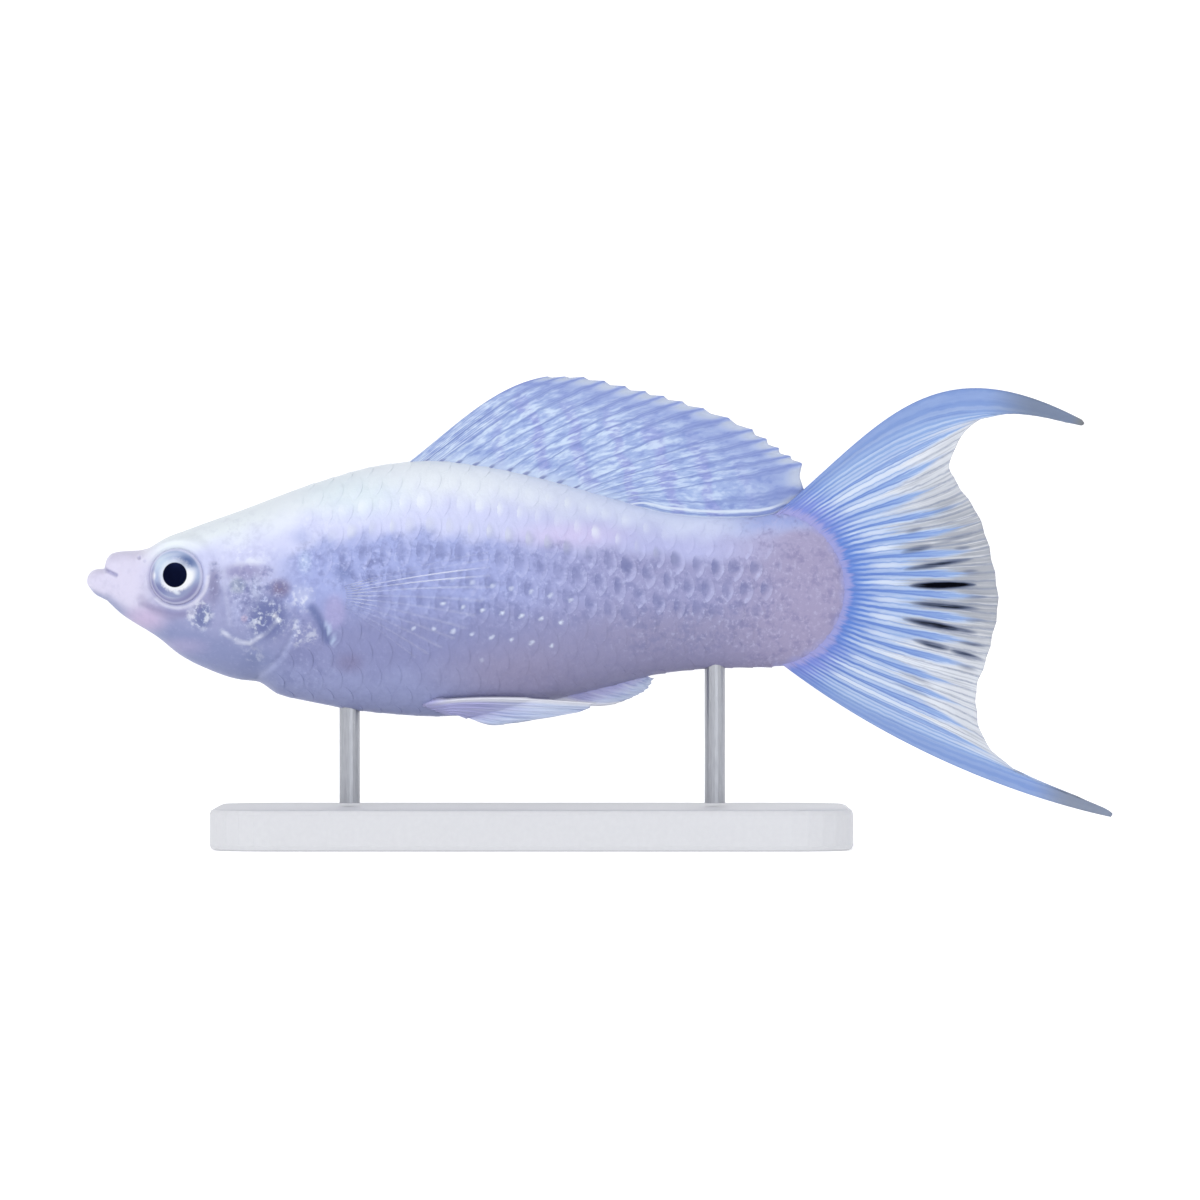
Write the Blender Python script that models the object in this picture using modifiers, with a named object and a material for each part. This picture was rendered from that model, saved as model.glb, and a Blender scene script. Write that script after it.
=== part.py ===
"""A platinum lyretail sailfin molly, life size, as a still model on a plain display stand.

Metres, +Z up. The fish swims level and faces -X, so its left side faces -Y. The origin is on the
floor, under the middle of the overall length. Profile curves are in millimetres, measured from the
middle of the length (x) and from the fish's midline through the middle of the tail root (z).
"""

import math

import bmesh
import bpy
import numpy as np
from mathutils import Matrix, Vector

MM = 0.001

# Driving dimensions, in millimetres
SNOUT_X = -50.0          # foremost point of the lower jaw
TAIL_TIP_X = 50.0        # hindmost point of the lower tail streamer
FLOOR_TO_MIDLINE = 25.2  # the lower streamer hangs 22.2 below the midline and clears the floor by 3
GAP = 0.3                # between neighbouring pieces

# Side view of the body: height of the back and of the belly along the length
BACK_LINE = (
    (-50.0, 1.85), (-48.35, 1.95), (-48.0, 2.9), (-47.5, 3.45), (-46.6, 3.65), (-44.9, 3.75),
    (-41.0, 5.45), (-35.1, 7.6), (-27.3, 10.45), (-21.0, 12.1), (-16.6, 12.5), (-11.1, 11.9),
    (-5.9, 10.8), (2.3, 8.5), (6.8, 7.3), (11.5, 6.92), (15.0, 7.0), (19.5, 7.9), (26.0, 8.4),
)
BELLY_LINE = (
    (-50.0, 0.0), (-49.3, -0.5), (-48.2, -1.1), (-46.6, -2.5), (-43.0, -4.8), (-41.0, -6.4),
    (-39.0, -7.5), (-35.1, -8.85), (-33.4, -9.05), (-31.3, -10.3), (-29.3, -10.8), (-21.5, -12.1),
    (-16.0, -12.45), (-9.0, -11.7), (0.0, -9.7), (6.5, -8.2), (11.5, -7.75), (17.0, -7.65),
    (26.0, -8.4),
)
# Top view: half of the body's width, and the height at which it is widest
HALF_WIDTH = (
    (-50.0, 1.3), (-48.2, 2.0), (-46.0, 2.75), (-43.0, 3.6), (-39.0, 4.7), (-33.0, 5.5),
    (-27.0, 5.85), (-16.0, 6.1), (-6.0, 5.75), (2.0, 4.9), (10.0, 3.6), (17.5, 2.4), (21.0, 1.5),
    (24.0, 0.85), (26.0, 0.7),
)
WIDEST_LEVEL = ((-50.0, 0.7), (-43.0, 0.8), (-33.0, -0.5), (-16.0, -1.0), (2.0, 0.0), (26.0, 0.0))
# Exponents of the cross-section: 2 is an ellipse, more is squarer, less is keeled
BACK_ROUND = ((-50.0, 2.3), (-44.0, 2.9), (-38.0, 2.8), (-30.0, 2.3), (-18.0, 1.9), (26.0, 1.9))
BELLY_ROUND = ((-50.0, 2.2), (-38.0, 2.1), (-28.0, 2.1), (-10.0, 2.2), (5.0, 2.0), (26.0, 1.9))
JAW_ROUND = 1.1          # depth of the rounded front of the lower jaw
# Where the rings of the body mesh lie, from the first to the last, closer on the head
RING_PLACES = ((0.0, -50.0), (0.05, -49.35), (0.13, -47.5), (0.55, -28.0), (1.0, 26.0))
BODY_AROUND, BODY_RINGS = 30, 60

# The gill opening, where the head ends, and the start of the tail stalk, from top to bottom
GILL_OPENING = (
    (-31.6, 14.0), (-31.4, 7.5), (-30.4, 4.2), (-29.5, 2.0), (-29.2, 0.0), (-29.4, -2.8),
    (-30.4, -5.6), (-32.2, -7.7), (-34.2, -9.4), (-35.0, -15.0),
)
GILL_COVER_FRONT = -36.4
GILL_COVER_RAISE = 0.35  # how far the free rim of the gill cover stands out
STALK_X = 6.2
TAIL_ROOT_X, TAIL_ROOT_LENGTH, TAIL_ROOT_HALF_HEIGHT = 17.0, 7.0, 7.6  # the rounded end of the stalk

# Eyes, nostrils and mouth
EYE_X, EYE_Z = -41.2, 1.2
EYE_RADIUS, EYE_HALF_DEPTH, EYE_CENTRE_Y = 2.85, 1.75, 3.2
EYE_YAW = 15.0           # degrees that the eye faces forward, along with the side of the head
NOSTRIL_X, NOSTRIL_Z, NOSTRIL_RADIUS = -45.0, 2.75, 0.3
MOUTH_FRONT, MOUTH_CORNER = (-50.6, 2.45), (-47.15, 1.35)
MOUTH_SLIT = 0.32
UPPER_LIP_FRONT, UPPER_LIP_RADIUS = (-47.7, 2.75), 0.55
LOWER_LIP_FRONT, LOWER_LIP_RADIUS = (-49.25, 1.3), 0.62
LIP_CORNER_Y = 2.1
CHEEK_GROOVE = ((-37.3, 3.4), (-37.0, 1.4), (-36.6, -0.8), (-36.2, -2.8), (-35.2, -4.7), (-33.6, -6.0))
CHEEK_GROOVE_RADIUS = 0.32

# Fins: thickness of the membrane, of the root and of the free edge, and height of a ray's ridge
MEMBRANE, FIN_ROOT, FIN_EDGE, RAY_RIDGE = 0.5, 0.95, 0.24, 0.13
RAY_FOOT = 0.3           # half width of a ray's ridge, as a share of the space between two rays
THICK_ROOT_SHARE, THIN_EDGE_SHARE = 0.22, 0.2        # shares of a ray's length at its two ends

DORSAL_RAYS, DORSAL_ROWS = 15, 9
DORSAL_BASE = (-18.6, 4.4)
DORSAL_TIPS = (
    (0.0, (-5.1, 20.7)), (0.11, (-2.6, 20.7)), (0.36, (3.9, 19.4)), (0.6, (9.8, 17.7)),
    (0.75, (14.6, 15.7)), (0.87, (18.4, 13.1)), (0.95, (19.6, 11.3)), (1.0, (18.9, 8.9)),
)
DORSAL_ROOT_ANGLE = ((0.0, 43.0), (0.4, 37.0), (0.8, 25.0), (0.93, 10.0), (1.0, -16.0))
DORSAL_TIP_ANGLE = ((0.0, 8.0), (0.3, 21.0), (0.7, 13.0), (1.0, 14.0))
DORSAL_NOTCH = 0.42      # how far the membrane is cut back between the tips of two rays
DORSAL_WAVE, DORSAL_WAVE_TURNS = 0.45, 1.1           # sideways wave of the fin, and its length

TAIL_RAYS, TAIL_ROWS = 18, 12
TAIL_MARGIN = (
    (0.0, (47.1, 16.3)), (0.045, (42.8, 16.9)), (0.09, (38.9, 17.2)), (0.13, (36.2, 15.9)),
    (0.17, (34.7, 14.0)), (0.21, (34.15, 12.0)), (0.26, (35.1, 10.0)), (0.33, (36.9, 7.3)),
    (0.42, (38.2, 3.3)), (0.52, (38.9, -1.2)), (0.64, (37.9, -6.4)), (0.74, (36.7, -10.4)),
    (0.81, (36.9, -13.0)), (0.87, (38.6, -15.6)), (0.92, (41.5, -18.0)), (0.96, (45.5, -19.8)),
    (1.0, (TAIL_TIP_X, -22.1)),
)
TAIL_ROOT_SPREAD = (79.0, -80.0)  # degrees round the end of the stalk, of the first and last ray
TAIL_ROOT_ANGLE = ((0.0, 45.5), (0.25, 33.0), (0.5, 0.0), (0.75, -30.0), (1.0, -41.0))
TAIL_TIP_ANGLE = (
    (0.0, -30.0), (0.05, -8.0), (0.1, 14.0), (0.17, 33.0), (0.26, 30.0), (0.5, 0.0), (0.74, -19.0),
    (0.84, -31.0), (0.93, -28.0), (1.0, -8.0),
)
TAIL_ROOT_PULL = ((0.0, 0.49), (0.12, 0.36), (0.5, 0.33), (0.9, 0.32), (1.0, 0.30))
TAIL_TIP_PULL = ((0.0, 0.49), (0.12, 0.34), (0.5, 0.33), (0.9, 0.34), (1.0, 0.36))
TAIL_PARTED_AT = (4, 13)          # the two rays along which it is parted into lobe, fan and lobe
TAIL_NOTCH = 0.12
TAIL_WAVE, TAIL_WAVE_TURNS = 0.7, 0.75

ANAL_RAYS, ANAL_ROWS = 8, 7
ANAL_BASE = (-5.4, 0.2)
ANAL_TIPS = ((0.0, (1.5, -11.2)), (0.35, (3.4, -10.5)), (0.7, (4.7, -9.7)), (1.0, (5.4, -8.9)))

PELVIC_RAYS, PELVIC_ROWS = 6, 7
PELVIC_ROOT = ((-17.2, -11.6), (-15.0, -12.35))      # upper and lower end of the root, side view
PELVIC_TIPS = ((0.0, (-0.4, -11.1)), (0.3, (-1.4, -11.8)), (0.65, (-5.5, -12.6)), (1.0, (-9.9, -13.2)))
PELVIC_Y, PELVIC_SPLAY = 2.75, 1.1

PECTORAL_RAYS, PECTORAL_ROWS = 12, 7
PECTORAL_ROOT = ((-24.5, 0.75), (-24.2, -1.75))      # upper and lower end of the root, side view
PECTORAL_FAN = ((0.0, (10.0, 14.6)), (0.3, (-3.0, 14.0)), (0.65, (-20.0, 11.4)), (1.0, (-41.0, 7.8)))
PECTORAL_SPLAY = 13.0    # degrees away from the flank
PECTORAL_BOSS = (3.0, 0.95, 1.6)                     # length, rise and half height of its fleshy root

# Display stand
BASE_LENGTH, BASE_WIDTH, BASE_HEIGHT, BASE_CORNER = 62.0, 36.0, 4.0, 6.0
BASE_X = -6.6
ROD_RADIUS, ROD_INTO_BODY = 1.0, 1.3
ROD_PLACES = (("stand_rod_front", -24.4), ("stand_rod_rear", 11.2))


def smooth(points, at):
    """A curve through (place, value) points that never overshoots them."""
    x = np.array([p[0] for p in points], float)
    y = np.array([p[1] for p in points], float)
    step = np.diff(x)
    slope = np.diff(y) / step
    tangent = np.zeros(len(x))
    tangent[0], tangent[-1] = slope[0], slope[-1]
    same_way = slope[:-1] * slope[1:] > 0
    before, after = slope[:-1][same_way], slope[1:][same_way]
    first = 2 * step[1:][same_way] + step[:-1][same_way]
    second = step[1:][same_way] + 2 * step[:-1][same_way]
    tangent[1:-1][same_way] = (first + second) / (first / before + second / after)
    at = np.clip(np.asarray(at, float), x[0], x[-1])
    k = np.clip(np.searchsorted(x, at, side="right") - 1, 0, len(x) - 2)
    t = (at - x[k]) / step[k]
    return (
        y[k] * (1 + 2 * t) * (1 - t) ** 2
        + step[k] * tangent[k] * t * (1 - t) ** 2
        + y[k + 1] * t**2 * (3 - 2 * t)
        + step[k] * tangent[k + 1] * t**2 * (t - 1)
    )


def smooth_point(table, at):
    """The same for a table of (place, (x, z))."""
    return tuple(smooth([(k, p[i]) for k, p in table], at) for i in (0, 1))


def body_point(x, turn):
    """(y, z) on the skin at x, where turn runs from 0 on the back to pi on the belly and on to 2 pi."""
    level = smooth(WIDEST_LEVEL, x)
    front = np.clip((x - SNOUT_X) / JAW_ROUND, 0, 1)
    blunt = np.sqrt(1 - (1 - front) ** 2)
    up, side = np.cos(turn), np.sin(turn)
    power = 2 / np.where(up > 0, smooth(BACK_ROUND, x), smooth(BELLY_ROUND, x))
    reach = np.where(up > 0, smooth(BACK_LINE, x) - level, level - smooth(BELLY_LINE, x))
    y = smooth(HALF_WIDTH, x) * np.sign(side) * np.abs(side) ** power
    z = reach * np.sign(up) * np.abs(up) ** power
    return y * blunt, level + z * blunt


def flank_y(x, z, clear=0.0):
    """Half of the width, at a height, of a body grown by clear all round; 0 above and below it."""
    level = smooth(WIDEST_LEVEL, x)
    above = z > level
    reach = np.where(above, smooth(BACK_LINE, x) - level, level - smooth(BELLY_LINE, x)) + clear
    power = np.where(above, smooth(BACK_ROUND, x), smooth(BELLY_ROUND, x))
    share = np.clip(np.abs(z - level) / reach, 0, 1)
    return (smooth(HALF_WIDTH, x) + clear) * (1 - share**power) ** (1 / power)


def placed(points):
    """Millimetres from the midline to metres from the floor."""
    points = np.array(points, float).reshape(-1, 3)
    points[:, 2] += FLOOR_TO_MIDLINE
    return points * MM


def material(name, colour, roughness, metallic=0.0):
    made = bpy.data.materials.new(name)
    made.use_nodes = True
    shader = made.node_tree.nodes["Principled BSDF"]
    shader.inputs["Base Color"].default_value = (*colour, 1.0)
    shader.inputs["Roughness"].default_value = roughness
    shader.inputs["Metallic"].default_value = metallic
    return made


def add_object(name, mesh, collection, finish=None):
    obj = bpy.data.objects.new(name, mesh)
    collection.objects.link(obj)
    if finish:
        mesh.materials.append(finish)
    return obj


def mesh_of(name, shape):
    """A mesh from a bmesh, shaded smooth except at sharp edges."""
    mesh = bpy.data.meshes.new(name)
    shape.to_mesh(mesh)
    shape.free()
    mesh.shade_smooth()
    mesh.set_sharp_from_angle(angle=math.radians(40))
    return mesh


def body_form(name, collection, raise_gill_cover=False):
    """The whole body as one closed form: a sphere of rings drawn out along the profile curves."""
    shape = bmesh.new()
    bmesh.ops.create_uvsphere(shape, u_segments=BODY_AROUND, v_segments=BODY_RINGS, radius=1.0)
    ball = np.array([v.co for v in shape.verts])
    ring = np.arccos(np.clip(-ball[:, 2], -1, 1)) / math.pi
    x = smooth(RING_PLACES, ring)
    turn = np.arctan2(ball[:, 0], ball[:, 1])
    y, z = body_point(x, turn)
    if raise_gill_cover:
        rim_x = smooth([(-z0, x0) for x0, z0 in GILL_OPENING], -z)
        over = np.clip((x - GILL_COVER_FRONT) / np.maximum(rim_x - GILL_COVER_FRONT, 1), 0, 1)
        y += np.sign(y) * GILL_COVER_RAISE * over**2 * (3 - 2 * over) * np.abs(np.sin(turn))
    for vert, place in zip(shape.verts, placed(np.column_stack([x, y, z]))):
        vert.co = place
    bmesh.ops.recalc_face_normals(shape, faces=shape.faces)
    return add_object(name, mesh_of(name, shape), collection)


def to_mesh(obj, collection):
    """Replaces a curve object by a closed mesh object of the same name and place."""
    graph = bpy.context.evaluated_depsgraph_get()
    mesh = bpy.data.meshes.new_from_object(obj.evaluated_get(graph))
    name, place = obj.name, obj.matrix_world.copy()
    bpy.data.objects.remove(obj)
    shape = bmesh.new()
    shape.from_mesh(mesh)
    bmesh.ops.remove_doubles(shape, verts=shape.verts, dist=1e-7)
    bmesh.ops.recalc_face_normals(shape, faces=shape.faces)
    shape.to_mesh(mesh)
    shape.free()
    made = add_object(name, mesh, collection)
    made.matrix_world = place
    return made


def side_prism(name, outline, collection, half_width=30.0):
    """A slab whose side view is the outline, (x, z) in millimetres, and that is wider than the fish."""
    curve = bpy.data.curves.new(name, "CURVE")
    curve.dimensions = "2D"
    curve.fill_mode = "BOTH"
    curve.extrude = half_width * MM
    line = curve.splines.new("POLY")
    line.points.add(len(outline) - 1)
    for point, (x, z) in zip(line.points, outline):
        point.co = (x * MM, (z + FLOOR_TO_MIDLINE) * MM, 0, 1)
    line.use_cyclic_u = True
    obj = bpy.data.objects.new(name, curve)
    collection.objects.link(obj)
    obj.rotation_euler = (math.pi / 2, 0, 0)
    bpy.context.view_layer.update()
    return to_mesh(obj, collection)


def apply_boolean(obj, operation, collection, solver="EXACT"):
    """Joins or cuts obj with every object of a collection, then removes those objects."""
    modifier = obj.modifiers.new(operation.title(), "BOOLEAN")
    modifier.operation = operation
    modifier.operand_type = "COLLECTION"
    modifier.collection = collection
    modifier.solver = solver
    bpy.context.view_layer.update()
    graph = bpy.context.evaluated_depsgraph_get()
    mesh = bpy.data.meshes.new_from_object(obj.evaluated_get(graph))
    obj.modifiers.clear()
    obj.data = mesh
    for tool in list(collection.objects):
        bpy.data.objects.remove(tool)


def keep_largest(obj):
    """Leaves only the largest closed surface of a mesh, and shades it again."""
    shape = bmesh.new()
    shape.from_mesh(obj.data)
    bmesh.ops.remove_doubles(shape, verts=shape.verts, dist=2e-6)
    left, islands = set(shape.verts), []
    while left:
        island, edge = set(), [left.pop()]
        while edge:
            vert = edge.pop()
            island.add(vert)
            near = {e.other_vert(vert) for e in vert.link_edges} & left
            left -= near
            edge.extend(near)
        islands.append(island)
    islands.sort(key=len)
    for island in islands[:-1]:
        bmesh.ops.delete(shape, geom=list(island), context="VERTS")
    shape.to_mesh(obj.data)
    shape.free()
    obj.data.shade_smooth()
    obj.data.set_sharp_from_angle(angle=math.radians(40))


def ellipsoid(name, centre, half_sizes, collection, around=20, rings=12, yaw=0.0, finish=None):
    """A closed ellipsoid with its poles on Y; centre and half sizes in millimetres, yaw in degrees."""
    shape = bmesh.new()
    bmesh.ops.create_uvsphere(shape, u_segments=around, v_segments=rings, radius=1.0)
    turned = Matrix.Rotation(math.pi / 2, 4, "X")
    sized = Matrix.Diagonal((*[s * MM for s in half_sizes], 1.0))
    yawed = Matrix.Rotation(math.radians(yaw), 4, "Z")
    moved = Matrix.Translation(Vector(placed(centre)[0]))
    bmesh.ops.transform(shape, matrix=moved @ yawed @ sized @ turned, verts=shape.verts)
    return add_object(name, mesh_of(name, shape), collection, finish)


def tapered_tube(name, points, radius, collection, end_share=0.35):
    """A tube through points (x, y, z) that thins towards its two ends."""
    curve = bpy.data.curves.new(name, "CURVE")
    curve.dimensions = "3D"
    curve.bevel_depth = radius * MM
    curve.bevel_resolution = 2
    curve.use_fill_caps = True
    line = curve.splines.new("POLY")
    line.points.add(len(points) - 1)
    for index, (point, place) in enumerate(zip(line.points, placed(points))):
        from_middle = abs(2 * index / (len(points) - 1) - 1)
        point.co = (*place, 1)
        point.radius = 1 - (1 - end_share) * from_middle**3
    obj = bpy.data.objects.new(name, curve)
    collection.objects.link(obj)
    return to_mesh(obj, collection)


def lip(name, front, radius, collection):
    """A fold from one corner of the mouth round the front of a jaw to the other corner."""
    corner_x, corner_z = MOUTH_CORNER
    side = 1 if front[1] > 2 else -1
    points = []
    for turn in np.radians(np.linspace(-80, 80, 13)):
        back = 1 - math.cos(turn)
        x = front[0] + (corner_x + 0.25 - front[0]) * back
        z = front[1] + (corner_z + side * radius * 0.5 - front[1]) * back
        points.append([x, LIP_CORNER_Y * math.sin(turn), z])
    return tapered_tube(name, points, radius, collection)


def cheek_groove(side, collection):
    """The groove in front of the gill cover, from behind the eye down and back under the cheek."""
    steps = np.linspace(0, 1, 11)
    places = np.linspace(0, 1, len(CHEEK_GROOVE))
    x, z = smooth_point(list(zip(places, CHEEK_GROOVE)), steps)
    y = side * (flank_y(x, z) + CHEEK_GROOVE_RADIUS * 0.3)
    points = np.column_stack([x, y, z])
    return tapered_tube("cheek_groove", points, CHEEK_GROOVE_RADIUS, collection)


def mouth_slit(name, collection):
    """A thin wedge of space between the lips, from in front of the snout to the mouth's corners."""
    (x0, z0), (x1, z1) = MOUTH_FRONT, MOUTH_CORNER
    half = MOUTH_SLIT / 2
    outline = [(x0, z0 - half), (x1, z1 - half / 2), (x1, z1 + half / 2), (x0, z0 + half)]
    return side_prism(name, outline, collection, half_width=4.0)


def resampled(outline, count=28):
    """More points on the smooth curve through an outline that runs downwards."""
    depths = np.linspace(-outline[0][1], -outline[-1][1], count)
    places = smooth([(-z, x) for x, z in outline], depths)
    return [(float(x), float(-depth)) for x, depth in zip(places, depths)]


def head(parts, tools, finish):
    outline = [(x - GAP / 2, z) for x, z in resampled(GILL_OPENING)]
    obj = body_form("head", parts, raise_gill_cover=True)
    side_prism("head_region", [*outline, (-60, -15), (-60, 14)], tools)
    apply_boolean(obj, "INTERSECT", tools)
    lip("upper_lip", UPPER_LIP_FRONT, UPPER_LIP_RADIUS, tools)
    lip("lower_lip", LOWER_LIP_FRONT, LOWER_LIP_RADIUS, tools)
    apply_boolean(obj, "UNION", tools)
    mouth_slit("mouth_slit", tools)
    socket = (EYE_RADIUS + GAP, EYE_HALF_DEPTH + GAP, EYE_RADIUS + GAP)
    for side in (-1, 1):
        centre = (EYE_X, side * EYE_CENTRE_Y, EYE_Z)
        ellipsoid("eye_socket", centre, socket, tools, 24, 12, yaw=side * EYE_YAW)
        cheek_groove(side, tools)
        skin_y = float(flank_y(NOSTRIL_X, NOSTRIL_Z))
        pit = (NOSTRIL_RADIUS, NOSTRIL_RADIUS * 1.4, NOSTRIL_RADIUS)
        ellipsoid("nostril", (NOSTRIL_X, side * skin_y, NOSTRIL_Z), pit, tools, 8, 6)
    apply_boolean(obj, "DIFFERENCE", tools)
    keep_largest(obj)
    obj.data.materials.append(finish)


def torso(parts, tools, finish):
    obj = body_form("torso", parts)
    front = [(x + GAP / 2, z) for x, z in resampled(GILL_OPENING)]
    back = STALK_X - GAP / 2
    side_prism("torso_region", [*front, (back, -15), (back, 14)], tools)
    apply_boolean(obj, "INTERSECT", tools)
    boss_x = PECTORAL_ROOT[0][0] - GAP
    boss_z = (PECTORAL_ROOT[0][1] + PECTORAL_ROOT[1][1]) / 2
    for side in (-1, 1):
        centre = (boss_x, side * float(flank_y(boss_x, boss_z)), boss_z)
        boss = ellipsoid("pectoral_boss", centre, PECTORAL_BOSS, tools, 16, 8)
        for vert in boss.data.vertices:
            vert.co.x = min(vert.co.x, boss_x * MM)
    apply_boolean(obj, "UNION", tools)
    rod_socket("rod_socket", ROD_PLACES[0][1], tools)
    apply_boolean(obj, "DIFFERENCE", tools)
    keep_largest(obj)
    obj.data.materials.append(finish)


def tail_stalk(parts, tools, finish):
    obj = body_form("tail_stalk", parts)
    turns = np.radians(np.linspace(90, -90, 25))
    rounded = [
        (TAIL_ROOT_X + TAIL_ROOT_LENGTH * math.cos(t), TAIL_ROOT_HALF_HEIGHT * math.sin(t))
        for t in turns
    ]
    front = STALK_X + GAP / 2
    above, below = (TAIL_ROOT_X, 14), (TAIL_ROOT_X, -15)
    outline = [(front, 14), above, *rounded, below, (front, -15)]
    side_prism("stalk_region", outline, tools)
    apply_boolean(obj, "INTERSECT", tools)
    rod_socket("rod_socket", ROD_PLACES[1][1], tools)
    apply_boolean(obj, "DIFFERENCE", tools)
    keep_largest(obj)
    obj.data.materials.append(finish)


def fin(
    name, surface, ray_count, rows, collection, finish,
    spread=(0.0, 1.0), parted=(False, False), notch=0.0,
):
    """A fin as a sheet with a ridge along each ray, given its thickness by Solidify.

    surface(u, v) gives (x, y, z) in millimetres for u from the first ray to the last and v from root
    to edge. spread is the share of u that the node covers, and parted tells at which of its two ends
    it leaves half of the gap to the neighbouring node.
    """
    step = 1 / (ray_count - 1)
    feet = [(ray + side * RAY_FOOT) * step for ray in range(ray_count) for side in (-1, 0, 1)]
    across = np.array([u for u in feet if spread[0] - 1e-6 < u < spread[1] + 1e-6])
    along = np.linspace(0, 1, rows) ** 0.9
    u, v = np.meshgrid(across, along, indexing="ij")
    between = 1 - np.abs(2 * ((u / step) % 1) - 1)       # 0 on a ray, 1 midway between two
    length = np.linalg.norm(np.subtract(surface(u, 1 + 0 * v), surface(u, 0 * v)), axis=0)
    reach = 1 - notch * between / np.maximum(length, 1)
    points = np.stack(surface(u, v * reach), axis=-1)
    for column, neighbour, here in ((0, 1, parted[0]), (-1, -2, parted[1])):
        inward = points[neighbour] - points[column]
        inward /= np.linalg.norm(inward, axis=-1, keepdims=True)
        points[column] += inward * (GAP / 2 if here else 0)
    ridge = 2 * RAY_RIDGE * np.clip(1 - between / (2 * RAY_FOOT), 0, 1) * (1 - v**2)
    root = (FIN_ROOT - MEMBRANE) * np.clip(1 - v / THICK_ROOT_SHARE, 0, 1) ** 2
    edge = (MEMBRANE - FIN_EDGE) * np.clip(1 - (1 - v) / THIN_EDGE_SHARE, 0, 1) ** 2
    thickness = MEMBRANE + ridge + root - edge

    shape = bmesh.new()
    bmesh.ops.create_grid(shape, x_segments=len(across) - 1, y_segments=rows - 1, size=1.0)
    shape.verts.ensure_lookup_table()
    order = sorted(shape.verts, key=lambda p: (round(p.co.x, 5), round(p.co.y, 5)))
    for vert, place in zip(order, placed(points)):
        vert.co = place
    bmesh.ops.triangulate(shape, faces=shape.faces)
    ranks = {vert.index: rank for rank, vert in enumerate(order)}
    obj = add_object(name, mesh_of(name, shape), collection, finish)
    thickest = float(thickness.max())
    group = obj.vertex_groups.new(name="thickness")
    for index, rank in ranks.items():
        group.add([index], float(thickness.flat[rank]) / thickest, "REPLACE")
    sheet = obj.modifiers.new("Thickness", "SOLIDIFY")
    sheet.thickness = thickest * MM
    sheet.offset = 0.0
    sheet.vertex_group = group.name
    return obj


def bent_ray(root, tip, root_angle, tip_angle, root_pull, tip_pull, v):
    """A point at v on a ray in the side view, a Bezier curve with given angles at its two ends."""
    length = np.hypot(tip[0] - root[0], tip[1] - root[1])
    a0, a1 = np.radians(root_angle), np.radians(tip_angle)
    places = []
    for i, way in ((0, np.cos), (1, np.sin)):
        pull = root[i] + root_pull * length * way(a0)
        push = tip[i] - tip_pull * length * way(a1)
        places.append(
            root[i] * (1 - v) ** 3 + 3 * pull * v * (1 - v) ** 2
            + 3 * push * v**2 * (1 - v) + tip[i] * v**3
        )
    return places


def dorsal_surface(u, v):
    x0 = DORSAL_BASE[0] + (DORSAL_BASE[1] - DORSAL_BASE[0]) * u
    root = (x0, smooth(BACK_LINE, x0) + GAP)
    tip = smooth_point(DORSAL_TIPS, u)
    x, z = bent_ray(root, tip, smooth(DORSAL_ROOT_ANGLE, u), smooth(DORSAL_TIP_ANGLE, u), 0.33, 0.33, v)
    y = DORSAL_WAVE * v**1.5 * np.sin(2 * math.pi * (DORSAL_WAVE_TURNS * u + 0.15 * v))
    return x, y, z


def tail_surface(u, v):
    turn = np.radians(TAIL_ROOT_SPREAD[0] + (TAIL_ROOT_SPREAD[1] - TAIL_ROOT_SPREAD[0]) * u)
    root = (
        TAIL_ROOT_X + (TAIL_ROOT_LENGTH + GAP) * np.cos(turn),
        (TAIL_ROOT_HALF_HEIGHT + GAP) * np.sin(turn),
    )
    tip = smooth_point(TAIL_MARGIN, u)
    x, z = bent_ray(
        root, tip, smooth(TAIL_ROOT_ANGLE, u), smooth(TAIL_TIP_ANGLE, u),
        smooth(TAIL_ROOT_PULL, u), smooth(TAIL_TIP_PULL, u), v,
    )
    y = TAIL_WAVE * v**2 * np.sin(2 * math.pi * (TAIL_WAVE_TURNS * u - 0.1))
    return x, y, z


def anal_surface(u, v):
    x0 = ANAL_BASE[0] + (ANAL_BASE[1] - ANAL_BASE[0]) * u
    root = (x0, smooth(BELLY_LINE, x0) - GAP)
    tip = smooth_point(ANAL_TIPS, u)
    x, z = bent_ray(root, tip, -24 + 26 * u, 12 - 6 * u, 0.33, 0.33, v)
    return x, 0.2 * v * np.sin(math.pi * u), z


def pelvic_surface(side):
    def surface(u, v):
        (x0, z0), (x1, z1) = PELVIC_ROOT
        root = (x0 + (x1 - x0) * u, z0 + (z1 - z0) * u)
        tip = smooth_point(PELVIC_TIPS, u)
        x, z = bent_ray(root, tip, 6 - 14 * u, 2 + 6 * u, 0.33, 0.33, v)
        clear = flank_y(x, z, GAP + FIN_ROOT / 2)
        y = np.maximum(PELVIC_Y - 0.9 * u + PELVIC_SPLAY * v, clear)
        return x, side * y, z

    return surface


def pectoral_surface(side):
    def surface(u, v):
        (x0, z0), (x1, z1) = PECTORAL_ROOT
        root_x, root_z = x0 + (x1 - x0) * u, z0 + (z1 - z0) * u
        angle = np.radians(smooth([(k, a) for k, (a, _) in PECTORAL_FAN], u))
        length = smooth([(k, n) for k, (_, n) in PECTORAL_FAN], u)
        sag = 0.06 * length * v**2
        x = root_x + length * v * np.cos(angle)
        z = root_z + length * v * np.sin(angle) - sag * np.cos(angle)
        out = length * v * math.tan(math.radians(PECTORAL_SPLAY)) * (1 - 0.25 * v)
        y = flank_y(root_x, root_z) + GAP + FIN_ROOT / 2 + out
        return x, side * y, z

    return surface


def rod_socket(name, x, collection):
    """Room for the end of a stand rod in the belly."""
    low, high = belly_at(x) - 3.0, belly_at(x) + ROD_INTO_BODY + GAP
    return upright_rod(name, x, low, high, ROD_RADIUS + GAP, collection)


def belly_at(x):
    return float(smooth(BELLY_LINE, x))


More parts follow.
